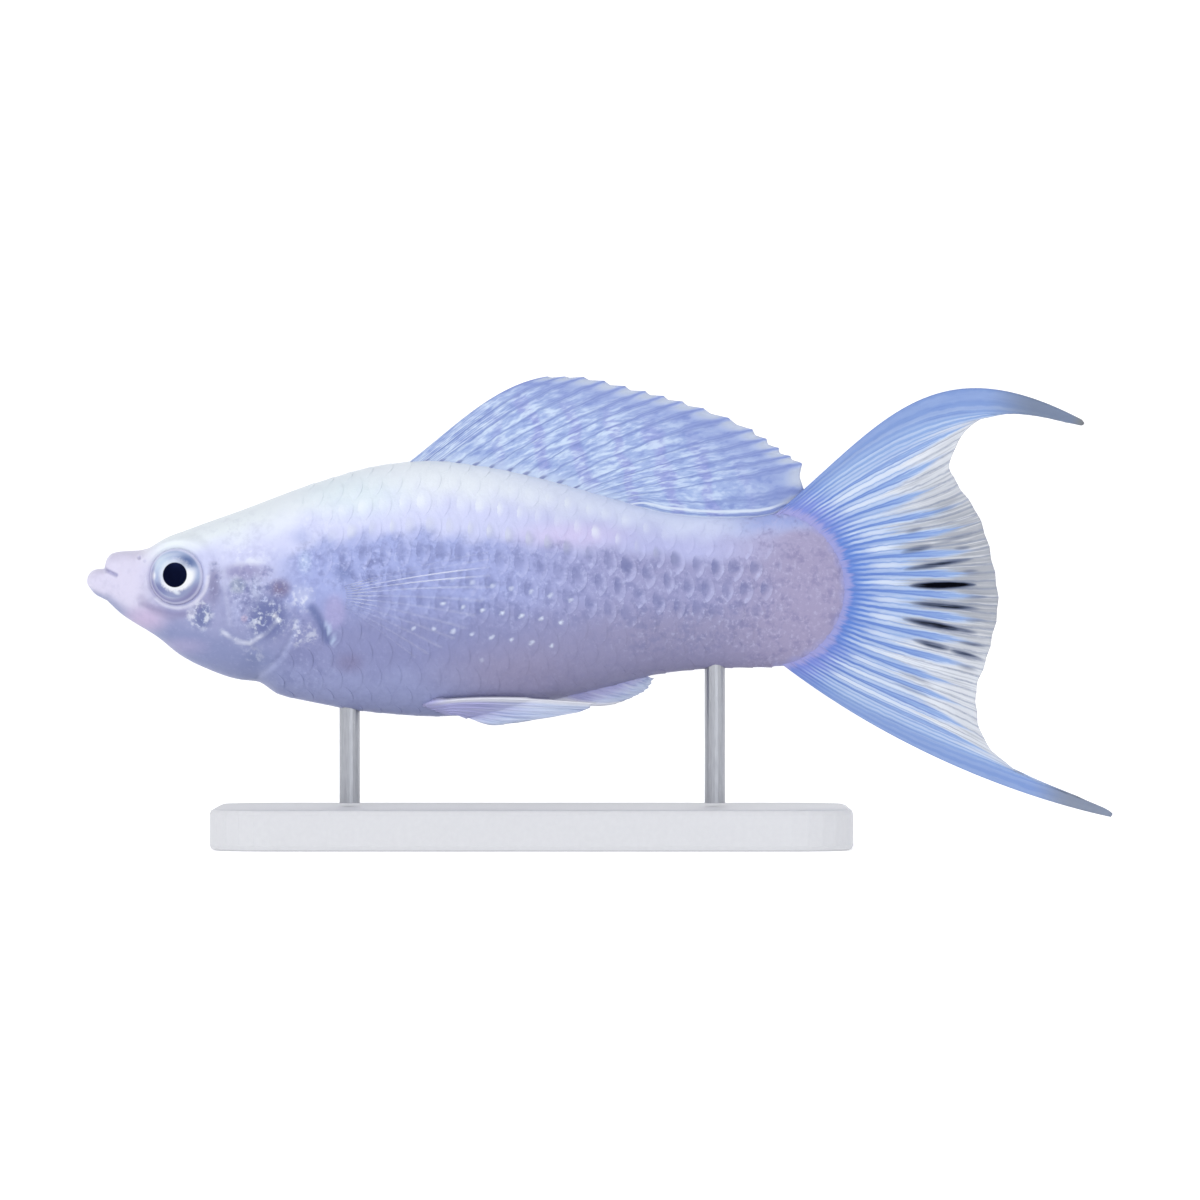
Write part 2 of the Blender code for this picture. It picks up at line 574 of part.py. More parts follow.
def upright_rod(name, x, low, high, radius, collection, finish=None):
    shape = bmesh.new()
    bmesh.ops.create_cone(
        shape, cap_ends=True, segments=20, radius1=radius * MM, radius2=radius * MM,
        depth=(high - low) * MM,
    )
    middle = placed([x, 0, (low + high) / 2])[0]
    bmesh.ops.translate(shape, vec=Vector(middle), verts=shape.verts)
    return add_object(name, mesh_of(name, shape), collection, finish)


def stand_base(collection, finish):
    """A flat block with rounded corners and softened top and bottom edges."""
    shape = bmesh.new()
    bmesh.ops.create_cube(shape, size=1.0)
    sized = Matrix.Diagonal((BASE_LENGTH * MM, BASE_WIDTH * MM, BASE_HEIGHT * MM, 1.0))
    moved = Matrix.Translation((BASE_X * MM, 0, BASE_HEIGHT / 2 * MM))
    bmesh.ops.transform(shape, matrix=moved @ sized, verts=shape.verts)
    upright = [e for e in shape.edges if abs(e.verts[0].co.z - e.verts[1].co.z) > BASE_HEIGHT / 2 * MM]
    bmesh.ops.bevel(shape, geom=upright, offset=BASE_CORNER * MM, segments=6, profile=0.5, affect="EDGES")
    obj = add_object("stand_base", mesh_of("stand_base", shape), collection, finish)
    soft = obj.modifiers.new("Soft edges", "BEVEL")
    soft.width = 0.5 * MM
    soft.segments = 2
    soft.limit_method = "ANGLE"
    soft.angle_limit = math.radians(50)
    return obj


def main():
    for obj in list(bpy.data.objects):
        bpy.data.objects.remove(obj)
    scene = bpy.context.scene.collection
    parts = bpy.data.collections.new("sailfin_molly")
    tools = bpy.data.collections.new("cutters")
    scene.children.link(parts)
    scene.children.link(tools)

    skin = material("platinum_skin", (0.55, 0.57, 0.75), 0.35)
    fins = material("blue_fin", (0.42, 0.52, 0.80), 0.4)
    eyes = material("silver_eye", (0.55, 0.60, 0.70), 0.15)
    steel = material("steel_rod", (0.62, 0.62, 0.63), 0.3, 1.0)
    board = material("pale_base", (0.72, 0.72, 0.70), 0.5)

    head(parts, tools, skin)
    torso(parts, tools, skin)
    tail_stalk(parts, tools, skin)
    for side, name in ((-1, "left"), (1, "right")):
        globe = (EYE_RADIUS, EYE_HALF_DEPTH, EYE_RADIUS)
        centre = (EYE_X, side * EYE_CENTRE_Y, EYE_Z)
        ellipsoid(f"eye_{name}", centre, globe, parts, 24, 12, yaw=side * EYE_YAW, finish=eyes)
        fin(f"pectoral_fin_{name}", pectoral_surface(side), PECTORAL_RAYS, PECTORAL_ROWS, parts, fins)
        fin(f"pelvic_fin_{name}", pelvic_surface(side), PELVIC_RAYS, PELVIC_ROWS, parts, fins)
    fin("dorsal_fin", dorsal_surface, DORSAL_RAYS, DORSAL_ROWS, parts, fins, notch=DORSAL_NOTCH)
    fin("anal_fin", anal_surface, ANAL_RAYS, ANAL_ROWS, parts, fins)
    upper, lower = [ray / (TAIL_RAYS - 1) for ray in TAIL_PARTED_AT]
    for name, spread, parted in (
        ("tail_fin_upper_lobe", (0.0, upper), (False, True)),
        ("tail_fin_middle", (upper, lower), (True, True)),
        ("tail_fin_lower_lobe", (lower, 1.0), (True, False)),
    ):
        fin(name, tail_surface, TAIL_RAYS, TAIL_ROWS, parts, fins, spread, parted, TAIL_NOTCH)
    base_top = BASE_HEIGHT - FLOOR_TO_MIDLINE
    for name, x in ROD_PLACES:
        upright_rod(name, x, base_top + GAP, belly_at(x) + ROD_INTO_BODY, ROD_RADIUS, parts, steel)
    stand_base(parts, board)
    bpy.data.collections.remove(tools)


main()
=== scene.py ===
import math

import bpy
import numpy as np
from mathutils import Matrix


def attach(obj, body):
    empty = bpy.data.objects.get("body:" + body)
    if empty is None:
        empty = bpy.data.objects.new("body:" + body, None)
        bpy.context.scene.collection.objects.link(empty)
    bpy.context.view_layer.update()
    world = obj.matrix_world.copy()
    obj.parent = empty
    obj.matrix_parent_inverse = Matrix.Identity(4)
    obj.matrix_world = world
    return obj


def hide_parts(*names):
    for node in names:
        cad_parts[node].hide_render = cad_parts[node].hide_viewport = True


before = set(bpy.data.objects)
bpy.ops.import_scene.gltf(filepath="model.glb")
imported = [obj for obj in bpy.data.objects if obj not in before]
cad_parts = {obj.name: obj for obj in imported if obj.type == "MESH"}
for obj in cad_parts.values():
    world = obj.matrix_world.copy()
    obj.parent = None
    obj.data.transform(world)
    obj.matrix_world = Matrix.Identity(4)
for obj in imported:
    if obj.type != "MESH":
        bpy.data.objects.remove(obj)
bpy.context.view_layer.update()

# The floor and backdrop: a sheet of matt white paper, flat under the stand and curving up all round.
# A sphere drawn out into a wide open bowl. It is no part of the model.
PAPER_FLAT, PAPER_CURVE, PAPER_WALL = 1.5, 0.7, 1.2      # radius of the flat, of the curve, height above
PAPER_FLAT_ENDS, PAPER_CURVE_ENDS, PAPER_CUT = 0.4, 0.8, 0.96   # where on the sphere, from pole to pole
PAPER_WHITE, PAPER_SHADE = (0.86, 0.86, 0.87, 1.0), (0.84, 0.84, 0.855, 1.0)
PAPER_GLOW = 0.37


class Wire:
    """A value, colour or place on its way through a material; Python's operators add its nodes."""

    def __init__(self, socket):
        self.socket = socket

    def node(self, kind, settings, sockets, out=0):
        """Adds a node: its settings first, then the values or wires of its sockets."""
        tree = self.socket.id_data
        made = tree.nodes.new(kind)
        for name, value in settings.items():
            setattr(made, name, value)
        for name, value in sockets.items():
            if isinstance(value, Wire):
                tree.links.new(value.socket, made.inputs[name])
            else:
                made.inputs[name].default_value = value
        return Wire(made.outputs[out])

    def calc(self, operation, *others):
        """One step of maths on this value, and on others where the step takes more than one."""
        return self.node("ShaderNodeMath", {"operation": operation}, dict(enumerate((self, *others))))

    def __add__(self, other):
        return self.calc("ADD", other)

    def __sub__(self, other):
        return self.calc("SUBTRACT", other)

    def __mul__(self, other):
        return self.calc("MULTIPLY", other)

    def __truediv__(self, other):
        return self.calc("DIVIDE", other)

    def __pow__(self, other):
        return self.calc("POWER", other)

    def __rsub__(self, other):
        return self.node("ShaderNodeMath", {"operation": "SUBTRACT"}, {0: other, 1: self})

    __radd__, __rmul__ = __add__, __mul__

    def ease(self, low, high):
        """0 at low and 1 at high, smooth between, whichever of the two is larger."""
        if low > high:
            return 1 - self.ease(high, low)
        sockets = {"Value": self, "From Min": low, "From Max": high}
        return self.node("ShaderNodeMapRange", {"interpolation_type": "SMOOTHSTEP"}, sockets)

    def tint(self, colour, amount):
        """This colour, mixed towards another by an amount from 0 to 1."""
        return self.mix(self, colour, amount)

    def coats(self, *coats):
        """This colour with others laid over it in turn, each a screen's colour or a wire, and its amount."""
        colour = self
        for paint, amount in coats:
            colour = colour.tint(rgb(*paint) if isinstance(paint, tuple) else paint, amount)
        return colour

    def mix(self, first, second, amount):
        return self.node("ShaderNodeMix", {"data_type": "RGBA"}, {0: amount, 6: first, 7: second}, 2)

    def parts(self):
        """The three parts of a place."""
        split = self.node("ShaderNodeSeparateXYZ", {}, {"Vector": self})
        return [Wire(out) for out in split.socket.node.outputs]

    def times(self, x, y, z):
        """A place, stretched along its axes."""
        sockets = {0: self, 1: (x, y, z)}
        return self.node("ShaderNodeVectorMath", {"operation": "MULTIPLY"}, sockets)

    def noise(self, size, detail=2.0, rough=0.5):
        """Cloudy noise from 0 to 1 on a place; size is that of its blotches."""
        sockets = {"Vector": self, "Scale": 1 / size, "Detail": detail, "Roughness": rough}
        return self.node("ShaderNodeTexNoise", {}, sockets)

    def chance(self):
        """A random number from 0 to 1 for a whole number."""
        return self.node("ShaderNodeTexWhiteNoise", {"noise_dimensions": "1D"}, {"W": self})


PAINT_DEPTH = 0.79                                       # the lamps show a colour paler than its paint


def rgb(red, green, blue):
    """The paint, in the linear values of a shader, for a colour that a screen shows as 0 to 255."""
    shares = [c / 255 for c in (red, green, blue)]
    linear = [c / 12.92 if c < 0.04045 else ((c + 0.055) / 1.055) ** 2.4 for c in shares]
    return (*[PAINT_DEPTH * c for c in linear], 1.0)


def new_finish(name, **fixed):
    """A material: its shader, and its place in millimetres, measured from the object's origin."""
    made = bpy.data.materials.new(name)
    made.use_nodes = True
    shader = made.node_tree.nodes["Principled BSDF"]
    for socket, value in fixed.items():
        shader.inputs[socket.replace("_", " ")].default_value = value
    place = Wire(made.node_tree.nodes.new("ShaderNodeTexCoord").outputs["Object"])
    return made, shader, place.times(1000, 1000, 1000)


def feed(shader, **wires):
    """Links wires to the shader's sockets of these names."""
    for socket, wire in wires.items():
        wire.socket.id_data.links.new(wire.socket, shader.inputs[socket.replace("_", " ")])


def relief(height, depth):
    """A bump from a height of 0 to 1, its depth in millimetres."""
    return height.node("ShaderNodeBump", {}, {"Height": height, "Distance": depth / 1000})


def map_part(shader, name, index):
    """One of the two coordinates of a named UV map."""
    tree = shader.id_data
    uv = tree.nodes.new("ShaderNodeUVMap")
    uv.uv_map = name
    return Wire(uv.outputs["UV"]).parts()[index]


def value_of(shader, name):
    """A number that the mesh holds at each of its points."""
    read = shader.id_data.nodes.new("ShaderNodeAttribute")
    read.attribute_name = name
    return Wire(read.outputs["Fac"])


def values_of(shader, *names):
    """Several such numbers."""
    return [value_of(shader, name) for name in names]


def alone():
    """Nothing selected, so that an operator acts only on what is made next."""
    bpy.ops.object.select_all(action="DESELECT")


def points_of(obj):
    co = np.empty(len(obj.data.vertices) * 3)
    obj.data.vertices.foreach_get("co", co)
    return co.reshape(-1, 3)


def move_points(obj, points):
    obj.data.vertices.foreach_set("co", np.asarray(points, float).ravel())
    obj.data.update()


def face_outward():
    """Turns every face of the mesh at hand to face outward."""
    bpy.ops.object.mode_set(mode="EDIT")
    bpy.ops.mesh.select_all(action="SELECT")
    bpy.ops.mesh.normals_make_consistent(inside=False)
    bpy.ops.object.mode_set(mode="OBJECT")


alone()
bpy.ops.mesh.primitive_uv_sphere_add(segments=96, ring_count=60, radius=1.0)
paper = bpy.context.object
paper.name = "paper_floor"
ball = points_of(paper)
climb = np.arccos(np.clip(-ball[:, 2], -1, 1)) / math.pi
bend = np.clip((climb - PAPER_FLAT_ENDS) / (PAPER_CURVE_ENDS - PAPER_FLAT_ENDS), 0, 1) * math.pi / 2
out = PAPER_FLAT * np.clip(climb / PAPER_FLAT_ENDS, 0, 1) + PAPER_CURVE * np.sin(bend)
height = PAPER_CURVE * (1 - np.cos(bend)) + PAPER_WALL * np.clip((climb - PAPER_CURVE_ENDS) / 0.15, 0, 1)
around = np.arctan2(ball[:, 1], ball[:, 0])
move_points(paper, np.column_stack([out * np.cos(around), out * np.sin(around), height]))
bpy.ops.object.mode_set(mode="EDIT")
bpy.ops.mesh.select_all(action="DESELECT")
bpy.ops.object.mode_set(mode="OBJECT")
for vert, share in zip(paper.data.vertices, climb):
    vert.select = bool(share > PAPER_CUT)
bpy.ops.object.mode_set(mode="EDIT")
bpy.ops.mesh.delete(type="VERT")
bpy.ops.object.mode_set(mode="OBJECT")
bpy.ops.object.shade_smooth()
paper_finish, shader, place = new_finish(
    "white_paper", Roughness=0.9, Emission_Color=(1, 1, 1, 1), Emission_Strength=PAPER_GLOW,
)
feed(shader, Base_Color=place.mix(PAPER_WHITE, PAPER_SHADE, place.noise(6.0)))
paper.data.materials.append(paper_finish)

# Light and camera: a wide soft light above the front, a weaker one low in front and one behind,
# in a pale room. The camera looks level at the fish's left side, from as far as a long lens stands.
FRAME_WIDTH, CAMERA_AWAY, PHOTO_CENTRE_HEIGHT = 0.117, 1.0, 0.0241
SENSOR_WIDTH = 36.0
ROOM_LIGHT = 0.54


def soft_light(name, place, size, power, colour=(1.0, 1.0, 1.0)):
    """A square lamp that faces the middle of the fish."""
    bpy.ops.object.light_add(type="AREA", location=place)
    lamp = bpy.context.object
    lamp.name = name
    lamp.data.size = size
    lamp.data.energy = power
    lamp.data.color = colour
    aim = np.array((0.0, 0.0, PHOTO_CENTRE_HEIGHT)) - np.array(place)
    lamp.rotation_euler = (
        math.atan2(math.hypot(aim[0], aim[1]), -aim[2]), 0.0, math.atan2(aim[1], aim[0]) - math.pi / 2,
    )


soft_light("key_lamp", (-0.31, -0.56, 0.6), 0.4, 1.75)
soft_light("front_lamp", (0.15, -0.75, 0.05), 0.5, 0.7, (0.95, 0.97, 1.0))
soft_light("back_lamp", (0.3, 0.7, 0.5), 0.6, 0.8)

room = bpy.data.worlds.new("pale_room")
room.use_nodes = True
room.node_tree.nodes["Background"].inputs["Color"].default_value = (0.97, 0.98, 1.0, 1.0)
room.node_tree.nodes["Background"].inputs["Strength"].default_value = ROOM_LIGHT
bpy.context.scene.world = room
bpy.context.scene.view_settings.view_transform = "Standard"

bpy.ops.object.camera_add(location=(0.0, -CAMERA_AWAY, PHOTO_CENTRE_HEIGHT), rotation=(math.pi / 2, 0, 0))
camera = bpy.context.object
camera.data.sensor_width = SENSOR_WIDTH
camera.data.lens = SENSOR_WIDTH * CAMERA_AWAY / FRAME_WIDTH
camera.data.clip_start, camera.data.clip_end = 0.05, 8.0
bpy.context.scene.camera = camera

# The skin: one seamless soft skin over head, trunk and tail stalk, cast in resin and painted.
# A sphere of rings drawn out along the body's profile, then carved: lips, nostrils, orbits, gill cover.
# Heights are in millimetres from the midline, as in the solids, which it lies over.
SNOUT_X, FLOOR_TO_MIDLINE, GAP = -50.0, 25.2, 0.3
BACK_LINE = (
    (-50.0, 1.85), (-48.35, 1.95), (-48.0, 2.9), (-47.5, 3.45), (-46.6, 3.65), (-44.9, 3.75),
    (-41.0, 5.45), (-35.1, 7.6), (-27.3, 10.45), (-21.0, 12.1), (-16.6, 12.5), (-11.1, 11.9),
    (-5.9, 10.8), (2.3, 8.5), (6.8, 7.3), (11.5, 6.92), (15.0, 7.0), (19.5, 7.9), (26.0, 8.4),
)
BELLY_LINE = (
    (-50.0, 0.0), (-49.3, -0.5), (-48.2, -1.1), (-46.6, -2.5), (-43.0, -4.8), (-41.0, -6.4),
    (-39.0, -7.5), (-35.1, -8.85), (-33.4, -9.05), (-31.3, -10.3), (-29.3, -10.8), (-21.5, -12.1),
    (-16.0, -12.45), (-9.0, -11.7), (0.0, -9.7), (6.5, -8.2), (11.5, -7.75), (17.0, -7.65),
    (26.0, -8.4),
)
HALF_WIDTH = (
    (-50.0, 1.3), (-48.2, 2.0), (-46.0, 2.75), (-43.0, 3.6), (-39.0, 4.7), (-33.0, 5.5),
    (-27.0, 5.85), (-16.0, 6.1), (-6.0, 5.75), (2.0, 4.9), (10.0, 3.6), (17.5, 2.4), (21.0, 1.5),
    (24.0, 0.85), (26.0, 0.7),
)
WIDEST_LEVEL = ((-50.0, 0.7), (-43.0, 0.8), (-33.0, -0.5), (-16.0, -1.0), (2.0, 0.0), (26.0, 0.0))
BACK_ROUND = ((-50.0, 2.3), (-44.0, 2.9), (-38.0, 2.8), (-30.0, 2.3), (-18.0, 1.9), (26.0, 1.9))
BELLY_ROUND = ((-50.0, 2.2), (-38.0, 2.1), (-28.0, 2.1), (-10.0, 2.2), (5.0, 2.0), (26.0, 1.9))
JAW_ROUND = 1.1
STALK_END_X, STALK_END_LENGTH, STALK_END_HALF_HEIGHT = 17.0, 7.0, 7.6
GILL_OPENING = (
    (-31.6, 14.0), (-31.4, 7.5), (-30.4, 4.2), (-29.5, 2.0), (-29.2, 0.0), (-29.4, -2.8),
    (-30.4, -5.6), (-32.2, -7.7), (-34.2, -9.4), (-35.0, -15.0),
)
GILL_COVER_FRONT, GILL_COVER_RAISE, GILL_COVER_EDGE = -36.4, 0.17, 0.4
EYE_X, EYE_Z, EYE_YAW = -41.0, 1.18, 15.0
EYE_RADIUS, EYE_HALF_DEPTH, EYE_CENTRE_Y = 2.85, 1.75, 3.2
ORBIT = (
    (0.0, -0.9), (2.3, -0.4), (2.6, 0.3), (2.72, 0.54), (2.9, 0.66), (3.2, 0.74), (3.9, 0.80), (4.6, 0.8),
)
ORBIT_REACH, ORBIT_WHOLE, ORBIT_DEEPEST = 4.6, 3.2, -2.2
ORBIT_RIM = 0.15                       # how far its lower rim is raised
MOUTH_LINE = ((-48.1, 1.84), (-47.6, 1.58), (-47.1, 1.33))
LIP_FOLD = ((-46.85, 3.1), (-46.6, 2.1), (-46.9, 1.2))
CHIN_FOLD = ((-47.9, -1.0), (-47.2, -0.2), (-47.1, 0.6))
UPPER_LIP, LOWER_LIP = (-47.75, 2.6), (-49.1, 0.9)
NOSTRILS = ((-44.75, 3.0, 0.16), (-44.2, 2.7, 0.13))
PECTORAL_BOSS = (-25.3, -0.6, 2.4, 1.9)      # its place, and its half length and half height
CHEEK_GROOVE = ((-37.3, 3.4), (-37.0, 1.4), (-36.6, -0.8), (-36.2, -2.8), (-35.2, -4.7), (-33.6, -6.0))
UNDER_EYE_FOLD = ((-44.6, -0.9), (-43.4, -2.1), (-41.4, -2.75), (-39.4, -2.2), (-38.2, -0.9))
OPERCLE_EDGE = ((-36.6, -4.2), (-35.2, -5.2), (-34.0, -5.3), (-32.4, -4.3), (-31.3, -3.1))
PREOPERCLE_EDGE = ((-36.6, 2.6), (-36.4, 0.2), (-36.1, -2.0), (-35.9, -3.4))
# Folds of the head: a line, its width, and how far it stands out; those of the cheek fade on the back
MOUTH_CREASES = ((MOUTH_LINE, 0.15, -0.28), (LIP_FOLD, 0.22, -0.07), (CHIN_FOLD, 0.28, -0.10))
CHEEK_CREASES = (
    (CHEEK_GROOVE, 0.34, -0.16), (UNDER_EYE_FOLD, 0.3, -0.12),
    (OPERCLE_EDGE, 0.2, 0.05), (PREOPERCLE_EDGE, 0.25, 0.04),
)
SKIN_AROUND, SKIN_RINGS = 256, 350
SKIN_RING_PLACES = (
    (0.0, -50.0), (0.012, -49.97), (0.03, -49.8), (0.06, -49.35), (0.57, -29.0), (0.885, 17.0),
)
STALK_EDGE_X, STALK_EDGE_LENGTH = 22.9, 1.12             # where the skin closes in a thin edge


def smooth(points, at):
    """A curve through (place, value) points that never overshoots them."""
    x = np.array([p[0] for p in points], float)
    y = np.array([p[1] for p in points], float)
    step = np.diff(x)
    slope = np.diff(y) / step
    tangent = np.zeros(len(x))
    tangent[0], tangent[-1] = slope[0], slope[-1]
    same_way = slope[:-1] * slope[1:] > 0
    before, after = slope[:-1][same_way], slope[1:][same_way]
    first = 2 * step[1:][same_way] + step[:-1][same_way]
    second = step[1:][same_way] + 2 * step[:-1][same_way]
    tangent[1:-1][same_way] = (first + second) / (first / before + second / after)
    at = np.clip(np.asarray(at, float), x[0], x[-1])
    k = np.clip(np.searchsorted(x, at, side="right") - 1, 0, len(x) - 2)
    t = (at - x[k]) / step[k]
    return (
        y[k] * (1 + 2 * t) * (1 - t) ** 2
        + step[k] * tangent[k] * t * (1 - t) ** 2
        + y[k + 1] * t**2 * (3 - 2 * t)
        + step[k] * tangent[k + 1] * t**2 * (t - 1)
    )


def ease(value, low, high):
    """0 at low and 1 at high, smooth between."""
    t = np.clip((value - low) / (high - low), 0, 1)
    return t * t * (3 - 2 * t)


def softer_less(a, b, softness):
    """The smaller of two values, with their crossing rounded off."""
    share = np.clip(0.5 + 0.5 * (b - a) / softness, 0, 1)
    return b + (a - b) * share - softness * share * (1 - share)


def stalk_end(x):
    """Half of the stalk's height where the tail fin's root rounds it off."""
    share = np.clip((x - STALK_END_X) / STALK_END_LENGTH, 0, 1)
    rounded = STALK_END_HALF_HEIGHT * np.sqrt(1 - share**2)
    return np.where(x < STALK_END_X, 20.0, rounded)


def body_point(x, turn):
    """(y, z) on the skin at x, where turn runs from 0 on the back to pi on the belly and on to 2 pi."""
    level = smooth(WIDEST_LEVEL, x)
    blunt = np.sqrt(1 - (1 - np.clip((x - SNOUT_X) / JAW_ROUND, 0, 1)) ** 2)
    up, side = np.cos(turn), np.sin(turn)
    power = 2 / np.where(up > 0, smooth(BACK_ROUND, x), smooth(BELLY_ROUND, x))
    high = softer_less(smooth(BACK_LINE, x), stalk_end(x), 0.25) - level
    low = level + softer_less(-smooth(BELLY_LINE, x), stalk_end(x), 0.25)
    reach = np.where(up > 0, high, low)
    y = smooth(HALF_WIDTH, x) * np.sign(side) * np.abs(side) ** power
    z = reach * np.sign(up) * np.abs(up) ** power
    return y * blunt, level + z * blunt


def flank_y(x, z, clear=0.0):
    """Half of the width, at a height, of a body grown by clear all round; 0 above and below it."""
    level = smooth(WIDEST_LEVEL, x)
    above = z > level
    reach = np.where(above, smooth(BACK_LINE, x) - level, level - smooth(BELLY_LINE, x)) + clear
    power = np.where(above, smooth(BACK_ROUND, x), smooth(BELLY_ROUND, x))
    share = np.clip(np.abs(z - level) / reach, 0, 1)
    return (smooth(HALF_WIDTH, x) + clear) * (1 - share**power) ** (1 / power)


def placed(points):
    """Millimetres from the midline to metres from the floor."""
    points = np.array(points, float).reshape(-1, 3)
    points[:, 2] += FLOOR_TO_MIDLINE
    return points / 1000


def from_line(line, x, z):
    """Distance in the side view from a line through points."""
    nearest = np.full(np.shape(x), 1e9)
    for (x0, z0), (x1, z1) in zip(line, line[1:]):
        along = ((x - x0) * (x1 - x0) + (z - z0) * (z1 - z0)) / ((x1 - x0) ** 2 + (z1 - z0) ** 2)
        along = np.clip(along, 0, 1)
        nearest = np.minimum(nearest, np.hypot(x - x0 - along * (x1 - x0), z - z0 - along * (z1 - z0)))
    return nearest


def swell(x, z, centre, size_x, size_z):
    """A soft mound in the side view, 1 at its centre."""
    return np.exp(-(((x - centre[0]) / size_x) ** 2) - ((z - centre[1]) / size_z) ** 2)


def carving(x, z, sideways):
    """How far the head's skin stands out from the plain body, in millimetres."""
    rim_x = smooth([(-z0, x0) for x0, z0 in GILL_OPENING], -z)
    over = np.clip((x - GILL_COVER_FRONT) / np.maximum(rim_x - GILL_COVER_FRONT, 1), 0, 1)
    loose = sideways * ease(z, 3.5, -2.5) * (1 - 0.45 * ease(z, -4.0, -7.5))
    stands = GILL_COVER_RAISE * over**2 * (3 - 2 * over) * loose * ease(rim_x - x, 0, GILL_COVER_EDGE)
    stands = stands - 0.05 * loose * swell(x - rim_x, 0 * z, (0.3, 0), 0.3, 1)
    boss = np.hypot((x - PECTORAL_BOSS[0]) / PECTORAL_BOSS[2], (z - PECTORAL_BOSS[1]) / PECTORAL_BOSS[3])
    stands = stands + 0.4 * sideways * np.clip(1 - boss**2, 0, 1) ** 1.3
    stands = stands + 0.09 * swell(x, z, UPPER_LIP, 0.6, 0.75) + 0.10 * swell(x, z, LOWER_LIP, 0.8, 1.0)
    for line, width, rise in MOUTH_CREASES:
        stands = stands + rise * np.exp(-((from_line(line, x, z) / width) ** 2))
    for line, width, rise in CHEEK_CREASES:
        stands = stands + rise * np.exp(-((from_line(line, x, z) / width) ** 2)) * sideways
    for pit_x, pit_z, radius in NOSTRILS:
        away = np.hypot(x - pit_x, z - pit_z)
        stands = stands - 0.22 * np.exp(-((away / radius) ** 4))
        stands = stands + 0.09 * np.exp(-(((away - 1.7 * radius) / 0.12) ** 2))
    return stands


def eye_frame(x, y, z):
    """Places as an eye sees them: back along it, up, and out of the head, for the nearer eye."""
    side = np.sign(y)
    yaw = math.radians(EYE_YAW)
    dx, dy = x - EYE_X, side * y - EYE_CENTRE_Y
    back = dx * math.cos(yaw) + dy * math.sin(yaw)
    out = dy * math.cos(yaw) - dx * math.sin(yaw)
    return back, z - EYE_Z, out


def out_of_eye_frame(back, up, out, side):
    """The same the other way round."""
    yaw = math.radians(EYE_YAW)
    x = EYE_X + back * math.cos(yaw) - out * math.sin(yaw)
    y = EYE_CENTRE_Y + back * math.sin(yaw) + out * math.cos(yaw)
    return x, side * y, EYE_Z + up


alone()
bpy.ops.mesh.primitive_uv_sphere_add(segments=SKIN_AROUND, ring_count=SKIN_RINGS, radius=1.0)
skin = bpy.context.object
skin.name = "skin"
ball = points_of(skin)
ring = np.arccos(np.clip(-ball[:, 2], -1, 1)) / math.pi
rounding = np.clip((ring - SKIN_RING_PLACES[-1][0]) / (1 - SKIN_RING_PLACES[-1][0]), 0, 1) * math.pi / 2
x = smooth(SKIN_RING_PLACES, ring) + STALK_END_LENGTH * np.sin(rounding)
turn = np.arctan2(ball[:, 0], ball[:, 1])
y, z = body_point(x, turn)
y = y * np.sqrt(np.clip(1 - ((x - STALK_EDGE_X) / STALK_EDGE_LENGTH) ** 2 * (x > STALK_EDGE_X), 0, 1))
move_points(skin, placed(np.column_stack([x, y, z])))
face_outward()
normals = np.empty(len(skin.data.vertices) * 3)
skin.data.vertices.foreach_get("normal", normals)
normals = normals.reshape(-1, 3)
sideways = np.clip(np.abs(np.sin(turn)) * 1.4, 0, 1)
at = np.column_stack([x, y, z]) + normals * carving(x, z, sideways)[:, None]
back, up, out = eye_frame(at[:, 0], at[:, 1], at[:, 2])
from_eye = np.hypot(back, up)
near_eye = (out > ORBIT_DEEPEST) * ease(from_eye, ORBIT_REACH, ORBIT_WHOLE)
rim = ORBIT_RIM * np.exp(-(((from_eye - 3.0) / 0.15) ** 2)) * (0.25 + 0.75 * ease(up, 0.8, -1.0))
sunk_x, sunk_y, sunk_z = out_of_eye_frame(back, up, smooth(ORBIT, from_eye) + rim, np.sign(at[:, 1]))
sunk = np.column_stack([sunk_x, sunk_y, sunk_z])
at = at + (sunk - at) * near_eye[:, None]
move_points(skin, placed(at))
bpy.ops.object.shade_smooth()


def write_map(obj, name, first, second):
    """A UV map from two values at each point of the mesh."""
    corners = np.empty(len(obj.data.loops), int)
    obj.data.loops.foreach_get("vertex_index", corners)
    layer = obj.data.uv_layers.new(name=name)
    layer.data.foreach_set("uv", np.column_stack([first, second])[corners].ravel())


def height_share(x, z):
    """0 on the belly's outline and 1 on the back's."""
    low, high = smooth(BELLY_LINE, x), smooth(BACK_LINE, x)
    return (z - low) / (high - low)


skin.data.uv_layers[0].name = "OFBake"


def spot(x, z, centre, size_x, size_z, soft=0.6):
    """1 in the middle of an oval and 0 outside it; soft is the share of it that fades."""
    return ease(np.hypot((x - centre[0]) / size_x, (z - centre[1]) / size_z), 1.0, 1.0 - soft)


def stroke(x, z, line, width):
    """A soft line through several places, 1 along its middle."""
    return ease(from_line(line, x, z), width, 0.1 * width)


def uneven(x, z, size):
    """Slow, cloudy ups and downs from -1 to 1."""
    first = np.sin(x / size * 1.7 + 1.3 * np.sin(z / size * 0.9 + 0.5))
    return first * np.sin(z / size * 1.9 + 1.1 * np.sin(x / size * 1.2 + 2.0))


def tinted(colours, other, amount):
    """Colours mixed towards another by an amount from 0 to 1."""
    return colours + (np.asarray(other)[..., :3] - colours) * np.clip(amount, 0, 1)[:, None]


GILL_EDGE = ((-29.3, -3.2), (-29.8, -4.6), (-30.9, -6.9), (-32.9, -8.4))
EYE_RIM_LOW = [
    (EYE_X + 2.95 * math.cos(a), EYE_Z + 3.05 * math.sin(a)) for a in np.radians(range(225, 361, 15))
]
